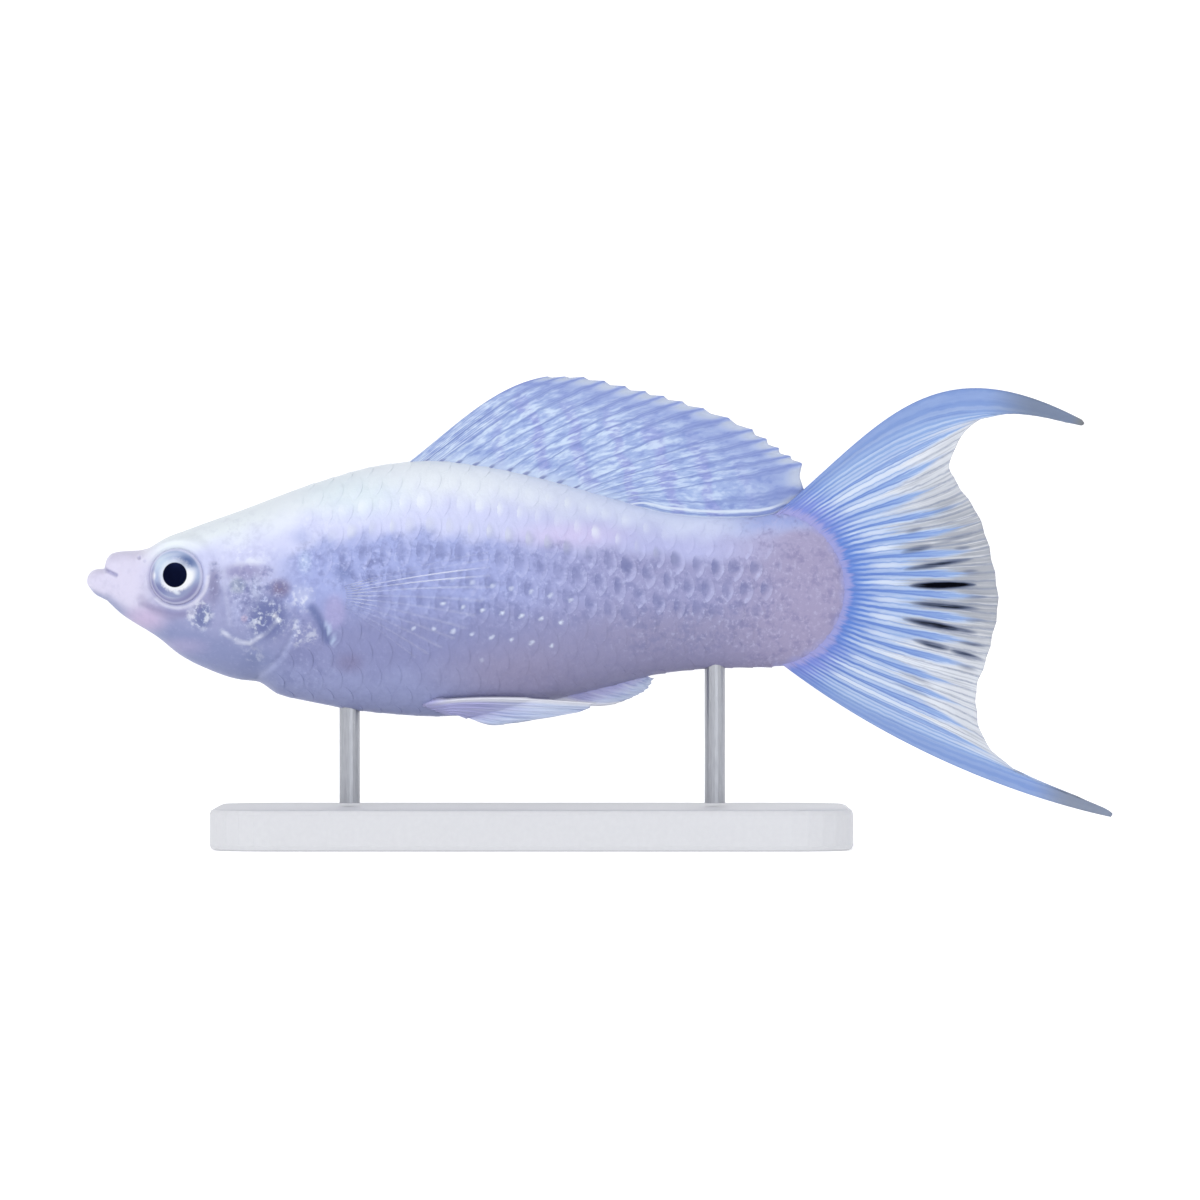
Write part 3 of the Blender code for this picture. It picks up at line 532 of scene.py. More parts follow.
# The colours from belly to back: the lowest, and each with the shares of the height where it sets in
FRONT_COLOURS = (
    (162, 169, 214), ((142, 147, 194), 0.10, 0.25), ((165, 176, 229), 0.32, 0.52),
    ((214, 219, 252), 0.67, 0.755), ((240, 247, 255), 0.78, 0.93),
)
REAR_COLOURS = (
    (153, 150, 187), ((157, 158, 202), 0.25, 0.50), ((188, 192, 236), 0.66, 0.78),
    ((221, 229, 255), 0.80, 0.97),
)
FACE_COLOURS = (
    (139, 148, 192), ((170, 173, 212), 0.14, 0.42), ((210, 214, 247), 0.50, 0.66),
    ((239, 247, 253), 0.74, 0.92),
)
SNOUT, STALK_MAUVE, SILVER, ICE = (222, 218, 241), (166, 158, 193), (228, 233, 250), (200, 220, 250)
# Patches of colour. An oval is its middle, half length, half height and the share of it that fades; a line
# is its places and its width. The colour comes first and the strength last.
TRUNK_PATCHES = (
    ((222, 208, 246), (-3.0, 5.2), 8.0, 1.9, 0.9, 0.55),
    ((228, 243, 250), (-24.0, 9.0), 8.0, 3.2, 0.9, 0.7),
)
JAW_PATCHES = (
    ((208, 190, 224), (-44.2, -2.9), 3.2, 1.9, 0.9, 0.85),
    ((178, 172, 212), (-40.6, -5.6), 3.6, 1.3, 0.9, 0.6),
)
GILL_COVER_PATCHES = (
    ((148, 154, 198), (-34.8, -1.8), 4.6, 4.6, 0.8, 0.6),
    ((150, 148, 192), (-34.4, 1.6), 3.6, 1.3, 0.8, 0.9),
    (SILVER, (-33.4, 2.7), 1.5, 0.6, 0.9, 0.6),
    ((124, 122, 164), (-37.5, 0.4), 0.9, 2.9, 0.8, 0.8),
    ((146, 157, 186), (-35.1, 0.3), 1.1, 1.0, 0.6, 0.95),
    ((196, 204, 232), (-33.4, 0.0), 0.9, 2.2, 0.9, 0.6),
    ((126, 114, 150), (-31.0, 0.0), 1.5, 1.3, 0.8, 0.95),
    ((96, 108, 162), (-32.1, -2.8), 2.8, 3.1, 0.7, 0.85),
    ((180, 186, 226), (-35.3, -2.2), 0.8, 2.2, 0.9, 0.6),
    ((112, 124, 172), (-38.6, -2.6), 1.3, 1.6, 0.6, 0.9),
    (SILVER, (-39.6, -2.2), 0.55, 1.1, 0.8, 0.5),
    ((118, 130, 176), (-33.3, -6.8), 1.9, 1.2, 0.9, 0.5),
    ((126, 132, 180), (-29.4, -6.6), 2.6, 2.0, 0.9, 0.45),
    # a painted glint on the silver gill cover
    ((250, 252, 255), (-31.5, -2.6), 0.32, 0.32, 0.6, 1.0),
    ((228, 204, 224), (-34.5, -2.9), 0.4, 0.4, 0.6, 0.7),
)
SHOULDER_PATCHES = (
    ((186, 194, 234), GILL_EDGE, 0.5, 0.45),
    ((236, 236, 250), EYE_RIM_LOW, 0.30, 0.6),
    # painted shade under the eye: in the fold below it and just beneath the fold
    ((132, 124, 166), UNDER_EYE_FOLD, 0.7, 0.32),
    ((124, 118, 162), ((-44.6, -1.5), (-42.5, -2.1), (-40.4, -2.5)), 0.5, 0.32),
    (SILVER, (-28.8, -0.6), 1.5, 1.4, 0.9, 0.35),
    (ICE, (-28.6, 2.6), 0.9, 1.6, 0.9, 0.5),
    ((176, 186, 232), (-28.9, 5.0), 1.6, 1.3, 0.9, 0.7),
    ((172, 182, 230), (-26.6, 4.2), 1.6, 1.6, 0.9, 0.7),
    ((88, 104, 160), ((-27.9, -1.9), (-27.2, -3.0), (-26.4, -5.0)), 0.7, 0.75),
    (ICE, ((-26.5, -3.4), (-26.1, -4.4), (-25.8, -5.4)), 0.3, 0.75),
    ((176, 172, 220), (-25.7, -2.2), 1.4, 2.2, 0.6, 0.75),
    ((116, 130, 186), (-24.8, 1.6), 1.5, 1.3, 0.9, 0.8),
    ((134, 128, 168), (-24.3, -7.2), 2.2, 1.5, 0.9, 0.6),
)
# Where silver flecks, painted white as their glints, and dark grain lie, in the same way but without a colour
GLINT_FLECKS = (
    ((-32.2, -3.1), 2.6, 2.5, 0.7, 0.72), ((-38.8, -2.5), 1.8, 2.0, 0.6, 0.7),
    ((-28.8, -0.8), 2.1, 2.0, 0.9, 0.72), ((-28.0, -4.6), 1.2, 1.7, 0.9, 0.5),
    ((-28.8, 2.4), 1.2, 2.6, 0.9, 0.45), ((-27.0, 7.6), 8.0, 3.4, 0.9, 0.35),
    ((-34.0, 3.4), 4.0, 1.6, 0.9, 0.6), ((-35.2, 0.4), 1.5, 2.6, 0.9, 0.25),
    ((-29.4, -4.2), 1.0, 1.9, 0.8, 0.7), (OPERCLE_EDGE, 0.5, 0.5),
    ((-33.6, -6.6), 2.4, 1.6, 0.9, 0.25),
)
GRAINS = (
    ((-33.0, -1.0), 3.8, 4.6, 0.6, 0.95), ((-37.35, 1.1), 0.9, 2.3, 0.6, 1.0),
    ((-28.0, 3.2), 3.0, 4.0, 0.9, 0.5), ((-35.0, 5.2), 6.0, 3.4, 0.9, 0.16),
    ((-38.6, -2.6), 1.6, 1.9, 0.7, 0.6), ((-29.0, -3.8), 1.6, 2.6, 0.8, 0.6),
    ((-23.0, 1.6), 6.0, 3.4, 0.8, 0.5), ((-29.0, -8.0), 5.0, 3.0, 0.9, 0.3),
)


def patch(x, z, shape):
    """How much of an oval or a line lies at a place."""
    return (stroke if len(shape) == 2 else spot)(x, z, *shape)


def patched(colours, x, z, patches):
    """Colours with the patches of a table laid over them in turn."""
    for paint, *shape, strength in patches:
        colours = tinted(colours, rgb(*paint), patch(x, z, shape) * strength)
    return colours


def belly_to_back(share, lowest, *others):
    """Colours by the share of the body's height."""
    colours = np.tile(rgb(*lowest)[:3], (len(share), 1))
    for paint, low, high in others:
        colours = tinted(colours, rgb(*paint), ease(share, low, high))
    return colours


def body_paint(x, z):
    """The painted colour at a place in the side view, and how much silver fleck, painted white as its glints,
    and dark grain it has.
    """
    share = np.clip(height_share(x, z), 0, 1) + 0.025 * uneven(x, z, 1.5)
    front = belly_to_back(share, *FRONT_COLOURS)
    front = tinted(front, rgb(156, 150, 184), spot(x, z, (-6.0, -8.5), 14.0, 5.0, 0.9) * 0.9)
    colours = tinted(front, belly_to_back(share, *REAR_COLOURS), ease(x, -16.0, 6.0))
    colours = patched(colours, x, z, TRUNK_PATCHES)
    colours = tinted(colours, rgb(*STALK_MAUVE), ease(x, 9.0, 20.0) * ease(share, 0.98, 0.80) * 0.9)
    colours = tinted(colours, rgb(156, 170, 227), ease(x, 10.0, 17.0) * ease(share, 0.82, 0.95) * 0.9)
    to_end = np.hypot(np.maximum(x - STALK_END_X, 0) / STALK_END_LENGTH, z / STALK_END_HALF_HEIGHT)
    to_end = np.where(x > STALK_END_X, to_end, 0) + 0.03 * uneven(x, z, 0.8)
    colours = tinted(colours, rgb(166, 168, 224), ease(to_end, 0.88, 1.02) * 0.8)
    face = belly_to_back(share, *FACE_COLOURS)
    face = tinted(face, rgb(*SNOUT), ease(x, -41.5, -45.5) * ease(share, -0.05, 0.30))
    face = patched(face, x, z, JAW_PATCHES)
    colours = tinted(colours, face, ease(x, -28.0, -34.0))
    colours = patched(colours, x, z, GILL_COVER_PATCHES)
    edge = stroke(x, z, OPERCLE_EDGE, 0.34) * (0.5 + 0.3 * uneven(x, z, 0.7))
    colours = tinted(colours, rgb(*SILVER), edge)
    edge = stroke(x, z, PREOPERCLE_EDGE, 0.45) * (0.35 + 0.2 * uneven(x, z, 0.9))
    colours = tinted(colours, rgb(204, 208, 238), edge)
    colours = patched(colours, x, z, SHOULDER_PATCHES)
    glint_fleck = sum(patch(x, z, shape) * strength for *shape, strength in GLINT_FLECKS)
    grain = sum(patch(x, z, shape) * strength for *shape, strength in GRAINS)
    rows = ease(share, 0.28, 0.45) * ease(share, 0.75, 0.67) * ease(x, -28.0, -20.0) * 0.45
    low_rear = ease(share, 0.06, 0.20) * ease(share, 0.50, 0.36) * ease(x, -2.0, 6.0) * 0.35
    grain += (rows + low_rear) * ease(x, 20.0, 12.0) + 0.05 + 0.1 * ease(share, 0.78, 0.68)
    return colours, np.clip(glint_fleck, 0, 1), np.clip(grain, 0, 1)


def write_values(obj, name, values):
    """A number at each point of the mesh, which its material reads."""
    made = obj.data.attributes.new(name, "FLOAT", "POINT")
    made.data.foreach_set("value", np.asarray(values, float))


def write_body_paint(obj, x, z):
    colours, glint_fleck, grain = body_paint(x, z)
    paint = obj.data.color_attributes.new("paint", "FLOAT_COLOR", "POINT")
    paint.data.foreach_set("color", np.column_stack([colours, np.ones(len(x))]).ravel())
    write_values(obj, "glint_fleck", glint_fleck)
    write_values(obj, "grain", grain)


def painted_body(shader, place):
    """The body's colour with its flecks, painted white as glints, and its grain, and the fine noise that they
    share.
    """
    read = shader.id_data.nodes.new("ShaderNodeAttribute")
    read.attribute_name = "paint"
    fine, coarse = place.noise(0.42, 3.0, 0.65), place.noise(1.0, 2.0)
    both = fine * 0.45 + coarse * 0.55
    grain, glint_fleck = values_of(shader, "grain", "glint_fleck")
    stalk = place.parts()[0].ease(8.0, 18.0)
    colour = Wire(read.outputs["Color"]).coats(
        ((104, 112, 166), grain * both.ease(0.54, 0.35) * 0.7),
        ((204, 212, 248), grain * fine.ease(0.54, 0.70) * 0.5),
        ((200, 196, 230), stalk * fine.ease(0.52, 0.72) * 0.3),
        ((128, 122, 168), stalk * both.ease(0.50, 0.34) * 0.45),
        # painted glints: white specks where the silver flecks lie
        ((242, 247, 255), glint_fleck * both.ease(0.49, 0.62) * 0.85),
    )
    return colour, fine, coarse


PEARL_SHEEN = {"Roughness": 0.45, "Coat_Weight": 0.18, "Coat_Roughness": 0.28, "Specular_IOR_Level": 0.35}
write_body_paint(skin, x, at[:, 2])
skin_finish, shader, place = new_finish("platinum_skin_paint", **PEARL_SHEEN)
colour, fine, coarse = painted_body(shader, place)
mouth_shade = stroke(x, at[:, 2], MOUTH_LINE, 0.3) * 0.45
for pit_x, pit_z, radius in NOSTRILS:
    pit = spot(x, at[:, 2], (pit_x, pit_z), radius * 1.6, radius * 1.6)
    mouth_shade = np.maximum(mouth_shade, pit * 0.25)
write_values(skin, "shade", mouth_shade)
colour = colour.tint(rgb(134, 138, 194), value_of(shader, "shade"))
feed(shader, Base_Color=colour, Normal=relief(fine, 0.025))
skin.data.materials.append(skin_finish)
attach(skin, "root")
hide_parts("head", "torso", "tail_stalk")

# The scales: thin horny plates in slanting rows, each rooted in the skin and lying over the next.
# One plate is modelled, and its copies are laid on the body, row by row from the back to the belly.
FIRST_ROW = ((-33.0, 1.1), (-12.0, 1.15), (0.0, 1.25), (12.0, 1.85), (23.0, 1.6))
ROW_SPACE = (
    (-33.0, 2.3), (-20.0, 2.46), (-12.0, 2.5), (-4.0, 2.42), (4.0, 2.3), (12.0, 2.15), (23.0, 2.0),
)
SCALE_ROWS = 15
SCALE_STEP, SCALE_HALF_LENGTH, SCALE_HALF_HEIGHT = 1.9, 1.72, 0.76   # the last as a share of two rows
SCALE_SUNK, SCALE_LIFT, SCALE_THICK = 0.08, 0.065, 0.05
SCALES_FROM, SCALES_TO = -35.24, 22.0
PATCH, PATCH_DEPTH = 0.0135, 34.0       # of a scale on the bake's map, and the depth that the map spans
SCALE_CELLS = 8
# The rows with a bright dot on each scale: number, from x to x, strength
DOT_ROWS = ((5, -16.0, -3.8, 0.6), (6, -17.0, -4.6, 1.0), (7, -19.6, -5.2, 0.8), (8, -13.0, -11.0, 0.35))

alone()
bpy.ops.mesh.primitive_grid_add(x_subdivisions=SCALE_CELLS, y_subdivisions=SCALE_CELLS - 1, size=2.0)
plate = bpy.context.object
plate.name = "one_scale"
flat = points_of(plate)
a, b = flat[:, 0], flat[:, 1]
round_a, round_b = a * np.sqrt(1 - b**2 / 2), b * np.sqrt(1 - a**2 / 2)
move_points(plate, np.column_stack([round_a, round_b, 0 * a]))
solid = plate.modifiers.new("Thickness", "SOLIDIFY")
solid.thickness = 1.0
solid.offset = -1.0
bpy.ops.object.modifier_apply(modifier=solid.name)
one = points_of(plate)
one_faces = [tuple(p.vertices) for p in plate.data.polygons]
bpy.data.objects.remove(plate)
plate_a, plate_b, plate_top = one[:, 0], one[:, 1], one[:, 2] > -0.5

# Along the body, the arc length from the back down to the belly, for laying out the rows
ARC_X = np.linspace(-36.0, 24.0, 241)
ARC_TURN = np.linspace(0.0, math.pi, 181)
SHARE_STEPS = 240
arc_y, arc_z = body_point(ARC_X[:, None] + 0 * ARC_TURN, ARC_TURN + 0 * ARC_X[:, None])
arc = np.zeros_like(arc_y)
arc[:, 1:] = np.cumsum(np.hypot(np.diff(arc_y, axis=1), np.diff(arc_z, axis=1)), axis=1)
even_shares = np.linspace(0, 1, SHARE_STEPS + 1)
TURN_AT_SHARE = np.array([np.interp(even_shares, row / row[-1], ARC_TURN) for row in arc])


def turn_at(x, down):
    """The turn round the body at arc length down from the back; past the belly it climbs again."""
    share = np.abs(down) / np.interp(x, ARC_X, arc[:, -1])
    folded = np.where(share > 1, 2 - share, share)
    along = np.clip((x - ARC_X[0]) / (ARC_X[1] - ARC_X[0]), 0, len(ARC_X) - 1.001)
    across = np.clip(folded * SHARE_STEPS, 0, SHARE_STEPS - 0.001)
    i, j = along.astype(int), across.astype(int)
    p, q = along - i, across - j
    near = TURN_AT_SHARE[i, j] * (1 - q) + TURN_AT_SHARE[i, j + 1] * q
    far = TURN_AT_SHARE[i + 1, j] * (1 - q) + TURN_AT_SHARE[i + 1, j + 1] * q
    turns = near * (1 - p) + far * p
    turns = np.where(share > 1, 2 * math.pi - turns, turns)
    return np.where(down < 0, -turns, turns)


def laid_on_body(x, turn, lift):
    """Points on the skin at x and turn, lifted along its normal."""
    step = 0.02
    y, z = body_point(x, turn)
    y_on, z_on = body_point(x + step, turn)
    y_round, z_round = body_point(x, turn + step)
    along = np.stack([np.full_like(x, step), y_on - y, z_on - z], axis=-1)
    round_it = np.stack([0 * x, y_round - y, z_round - z], axis=-1)
    normal = np.cross(round_it, along)
    normal /= np.maximum(np.linalg.norm(normal, axis=-1, keepdims=True), 1e-9)
    outward = np.stack([0 * x, y, z - smooth(WIDEST_LEVEL, x)], axis=-1)
    normal *= np.sign(np.sum(normal * outward, axis=-1, keepdims=True))
    return np.stack([x, y, z], axis=-1) + normal * lift[:, None]


def row_depth(row, x):
    """Arc length from the back down to the middle of a row."""
    return smooth(FIRST_ROW, x) + row * smooth(ROW_SPACE, x)


rng = np.random.default_rng(11)
in_row = int((SCALES_TO - SCALES_FROM) / SCALE_STEP)
centre_row = np.repeat(np.arange(SCALE_ROWS), in_row)
centre_x = SCALES_FROM + (np.tile(np.arange(in_row), SCALE_ROWS) + 0.5 * (centre_row % 2)) * SCALE_STEP
depth = row_depth(centre_row, centre_x)
whole = np.interp(centre_x, ARC_X, arc[:, -1])
centre_turn = turn_at(centre_x, depth)
centre_z = body_point(centre_x, centre_turn)[1]
rim_at = smooth([(-z0, x0) for x0, z0 in GILL_OPENING], -centre_z)
fin_base = np.hypot((centre_x + 25.9) / 1.9, (centre_z + 1.6) / 2.7) < 1
first_x = np.where(centre_z > 6.5, -33.6, rim_at + 0.4)
kept = (depth < whole + 0.4) & (centre_x > first_x) & (centre_x < 19.5) & ~fin_base
bright = np.zeros(len(centre_x))
for number, start, end, strength in DOT_ROWS:
    bright[(centre_row == number) & (centre_x > start) & (centre_x < end)] = strength
scale_objects = []
for side, name in ((-1, "left"), (1, "right")):
    cx, cd, cr = centre_x[kept], depth[kept], centre_row[kept]
    fade = ease(-cx, 30.0, 34.0) * (centre_z[kept] > 6.0) + ease(cx, 14.0, 20.0)
    count, size = len(cx), len(one)
    vary = rng.uniform(-1, 1, (count, 3))
    half_height = SCALE_HALF_HEIGHT * smooth(ROW_SPACE, cx) * (1 + 0.03 * vary[:, 1])
    length = SCALE_HALF_LENGTH * (1 + 0.03 * vary[:, 0])
    px = (cx + 0.05 * vary[:, 2])[:, None] + plate_a[None, :] * length[:, None]
    down = cd[:, None] - plate_b[None, :] * half_height[:, None]
    lean = row_depth(cr[:, None], px) - row_depth(cr[:, None], cx[:, None])
    down = (down + lean).ravel()
    px = px.ravel()
    rise = (plate_a[None, :] + 1) / 2
    lift = -SCALE_SUNK + (SCALE_SUNK + SCALE_LIFT) * rise**1.2 + 0 * px.reshape(count, size)
    lift = lift - 0.04 * (plate_b[None, :] ** 2) + 0.01 * vary[:, :1]
    lift = lift - 0.13 * np.clip(fade, 0, 1)[:, None]
    lift = np.where(plate_top[None, :], lift, lift - SCALE_THICK).ravel()
    pturn = turn_at(px, down)
    points = laid_on_body(px, side * pturn, lift)
    mesh = bpy.data.meshes.new(f"scales_{name}")
    faces = [tuple(v + size * i for v in face) for i in range(count) for face in one_faces]
    alone()
    bpy.ops.mesh.primitive_plane_add(size=1.0)
    scales = bpy.context.object
    scales.name = f"scales_{name}"
    mesh.from_pydata(placed(points).tolist(), [], faces)
    mesh.update()
    scales.data = mesh
    face_outward()
    bpy.ops.object.shade_smooth_by_angle(angle=math.radians(50))
    scale_objects.append((scales, name))
    wall = np.where(plate_top, 0.78, 1.0)
    write_map(scales, "Scale", np.tile(plate_a * 0.5 + 0.5, count), np.tile(plate_b * 0.5 + 0.5, count))
    write_body_paint(scales, points[:, 0], points[:, 2])
    root_u = 0.03 + 0.94 * (cx - SCALES_FROM) / (SCALES_TO - SCALES_FROM)
    root_v = 0.04 + 0.92 * cd / PATCH_DEPTH
    map_u = root_u[:, None] + PATCH * plate_a * wall
    map_v = root_v[:, None] + PATCH * plate_b * wall
    write_map(scales, "OFBake", map_u.ravel(), map_v.ravel())
    level = np.clip(height_share(cx, centre_z[kept]), 0, 1)
    # dark blotches on the scales: partly their markings, partly painted shade behind the rim of the scale in
    # front
    dark_blotch_and_shade = ease(level, 0.30, 0.46) * ease(level, 0.80, 0.70)
    dark_blotch_and_shade = dark_blotch_and_shade * ease(cx, -31.0, -24.0) * ease(cx, 20.5, 15.0)
    ovals = ease(level, 0.66, 0.76) * ease(level, 1.0, 0.88) * ease(cx, -30.0, -24.0) * ease(cx, 10.0, -4.0)
    rims = ease(level, 0.34, 0.50) * ease(level, 1.02, 0.80) * ease(cx, 19.0, 13.0) * ease(cx, -32.0, -26.0)
    of_each_scale = {
        "lot": rng.uniform(0, 1, count),
        "bright": bright[kept] * rng.uniform(0.8, 1.0, count),
        "blotch_and_shade": dark_blotch_and_shade * (0.65 + 0.35 * ease(cx, -6.0, 4.0)),
        "oval": ovals,
        "rim": rims * (0.6 + 0.4 * ease(cx, -8.0, 2.0)),
    }
    for value, numbers in of_each_scale.items():
        write_values(scales, value, np.repeat(numbers, size))

scale_finish, shader, place = new_finish("platinum_scale_paint", **PEARL_SHEEN)
colour, fine, coarse = painted_body(shader, place)
on_a, on_b = [map_part(shader, "Scale", i) * 2 - 1 for i in (0, 1)]
lot, dark_blotch_and_shade, gleaming, rimmed, dotted = values_of(shader, "lot", "blotch_and_shade", "oval", "rim", "bright")
wobbly = (coarse - 0.5) * 1.1
out_share = (on_a * on_a + on_b * on_b) ** 0.5
rim = (out_share + wobbly * 0.12).ease(0.64, 0.92) * on_a.ease(-0.1, 0.5)
low_rim = rim * on_b.ease(0.40, -0.25)


def oval(first, second, centre, size_first, size_second, soft, slant=0.0):
    """1 in the middle of an oval and 0 outside it, for two wires; soft is the share that fades."""
    off_second = (second - centre[1]) / size_second
    off_first = (first - centre[0] - slant * (second - centre[1])) / size_first
    return ((off_first * off_first + off_second * off_second) ** 0.5).ease(1.0, 1.0 - soft)


on_a, on_b = on_a + wobbly * 0.15, on_b - wobbly * 0.15
middle = oval(on_a, on_b, (0.25, 0.05), 0.72, 0.66, 0.72)
gleam = oval(on_a, on_b, (0.3, 0.1), 0.5, 0.6, 0.9) * gleaming
dot_a, dot_b = on_a + (fine - 0.5) * 0.35, on_b + (fine - 0.5) * 0.25
dot = oval(dot_a, dot_b, (0.60, -0.10), 0.17 + 0.07 * lot, 0.19, 0.95, 0.5)
colour = colour.coats(
    # dark blotch: partly the scale's marking, partly painted shade behind the rim of the scale in front
    ((100, 108, 162), middle * dark_blotch_and_shade * (0.40 + 0.32 * lot)),
    ((240, 247, 255), gleam * 0.50 * (0.4 + lot)),
    ((204, 208, 248), (rim * 0.07 + low_rim * 0.26) * rimmed * (0.5 + fine)),
    ((228, 238, 255), dot * dotted * 0.95),
)
feed(shader, Base_Color=colour, Normal=relief(fine * 0.8 + rim * 0.1, 0.025))
for scales, name in scale_objects:
    scales.data.materials.append(scale_finish)
    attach(scales, "root")

# The eyes: glass-clear domes over a silver iris with a black lens, set deep in a fleshy rim.
# Each is a sphere with its pole on the pupil, pressed to the real eye's shape, and stays a piece of its own.
PUPIL_AT, PUPIL_RADIUS, LENS_RISE = (0.17, 0.16), 1.21, 0.08

eye_finish, shader, place = new_finish(
    "silver_iris", Roughness=0.35, Coat_Roughness=0.05, Specular_IOR_Level=0.15,
)
iris_a, iris_b = [(map_part(shader, "Iris", i) * 2 - 1) * EYE_RADIUS for i in (0, 1)]
off_a, off_b = iris_a - PUPIL_AT[0], iris_b - PUPIL_AT[1]
from_pupil = (off_a * off_a + off_b * off_b) ** 0.5
from_middle = (iris_a * iris_a + iris_b * iris_b) ** 0.5
strands = (place.noise(0.22, 2.0) - 0.5) * 0.5
colour = place.mix(rgb(176, 190, 224), rgb(150, 158, 196), (iris_b + strands).ease(0.3, -1.4))
arcs = (from_middle * 6.5 + strands * 2).calc("SINE").ease(0.2, 0.95)
ring_glow = from_pupil.ease(1.1, 1.26) * (from_pupil + strands).ease(1.85, 1.4)
outer = (from_middle + strands * 0.3).ease(2.0, 2.3) * (iris_b + iris_a * 0.4).ease(0.9, -0.6)
in_pupil = from_pupil.ease(PUPIL_RADIUS + 0.04, PUPIL_RADIUS - 0.04)
colour = colour.coats(
    ((206, 222, 242), oval(iris_a, iris_b, (-1.3, 1.3), 1.7, 1.5, 0.9) * 0.9),
    ((98, 118, 168), oval(iris_a, iris_b, (1.25, 1.45), 1.35, 0.95, 0.8, -0.5) * 0.95),
    ((122, 130, 178), oval(iris_a, iris_b, (-1.6, -1.2), 1.3, 0.95, 0.8, -0.6) * 0.95),
    ((226, 234, 246), arcs * 0.3 * iris_a.ease(1.2, -0.6)),
    ((250, 252, 255), ring_glow * (0.35 + 0.55 * (iris_b - iris_a * 0.5).ease(0.8, -0.8))),
    # painted highlights: white glare on the iris, at the right and at the left
    ((250, 252, 255), oval(iris_a, iris_b, (1.45, -0.15), 0.85, 1.3, 0.7, 0.35) * 1.0),
    ((245, 248, 255), oval(iris_a, iris_b, (-2.2, 0.1), 0.5, 0.6, 0.8) * 0.95),
    ((236, 243, 252), oval(iris_a, iris_b, (0.3, -1.55), 0.5, 0.35, 0.9, -0.4) * 0.8),
    ((140, 136, 184), outer * 0.65),
    ((222, 222, 244), from_middle.ease(2.4, 2.6) * 0.75),
    ((12, 17, 42), in_pupil),
)
feed(
    shader, Base_Color=colour, Metallic=in_pupil,
    Coat_Weight=0.3 * from_pupil.ease(PUPIL_RADIUS - 0.1, PUPIL_RADIUS + 0.2),
)

for side, name in ((-1, "left"), (1, "right")):
    alone()
    bpy.ops.mesh.primitive_uv_sphere_add(segments=96, ring_count=72, radius=1.0)
    eye = bpy.context.object
    eye.name = f"eye_{name}_glass"
    ball = points_of(eye)
    back, up, out = ball[:, 0] * EYE_RADIUS, ball[:, 1] * EYE_RADIUS, ball[:, 2] * EYE_HALF_DEPTH
    off = np.hypot(back - PUPIL_AT[0], up - PUPIL_AT[1])
    out = out + LENS_RISE * np.clip(1 - (off / 1.5) ** 2, 0, 1) ** 0.8 * (ball[:, 2] > 0)
    eye_x, eye_y, eye_z = out_of_eye_frame(back, up, out, side)
    move_points(eye, placed(np.column_stack([eye_x, eye_y, eye_z])))
    face_outward()
    bpy.ops.object.shade_smooth()
    eye.data.uv_layers[0].name = "OFBake"
    write_map(eye, "Iris", ball[:, 0] * 0.5 + 0.5, ball[:, 1] * 0.5 + 0.5)
    eye.data.materials.append(eye_finish)
    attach(eye, "root")
    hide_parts(f"eye_{name}")

# The dorsal fin: a thin skin sail on sixteen slender rays that lean back, each rooted in the back.
# A grid laid on the same curved sheet as the solid, with a fine ridge for every ray, then thickened.
DORSAL_BASE = (-19.4, 2.0)
DORSAL_TIPS = (
    (0.0, (-5.1, 20.7)), (0.11, (-2.6, 20.7)), (0.36, (3.9, 19.4)), (0.6, (9.8, 17.7)),
    (0.75, (14.6, 15.7)), (0.87, (18.2, 13.2)), (0.93, (19.9, 12.0)), (0.955, (20.0, 10.9)),
    (0.98, (19.1, 9.1)), (1.0, (19.0, 8.4)),
)
DORSAL_ROOT_ANGLE = ((0.0, 36.0), (0.4, 36.0), (0.8, 25.0), (0.93, 8.0), (0.975, -9.0), (1.0, -15.0))
DORSAL_TIP_ANGLE = ((0.0, 8.0), (0.3, 21.0), (0.7, 13.0), (1.0, 14.0))
DORSAL_NOTCH, DORSAL_WAVE, DORSAL_WAVE_TURNS = 0.5, 0.45, 1.1
DORSAL_LAST_GAP, DORSAL_LAST_SHARE = 0.7, 0.025      # between the last two rays, which lie along the back
ROOT_SUNK = 0.55                       # how deep a fin's root lies in the flesh


def smooth_point(table, at):
    """A smooth curve through a table of (place, (x, z))."""
    return tuple(smooth([(k, p[i]) for k, p in table], at) for i in (0, 1))


def bent_ray(root, tip, root_angle, tip_angle, v, root_pull=0.33, tip_pull=0.33):
    """A point at v on a ray in the side view, a Bezier curve with given angles at its two ends."""
    length = np.hypot(tip[0] - root[0], tip[1] - root[1])
    a0, a1 = np.radians(root_angle), np.radians(tip_angle)
    places = []
    for i, way in ((0, np.cos), (1, np.sin)):
        pull = root[i] + root_pull * length * way(a0)
        push = tip[i] - tip_pull * length * way(a1)
        places.append(
            root[i] * (1 - v) ** 3 + 3 * pull * v * (1 - v) ** 2
            + 3 * push * v**2 * (1 - v) + tip[i] * v**3
        )
    return places


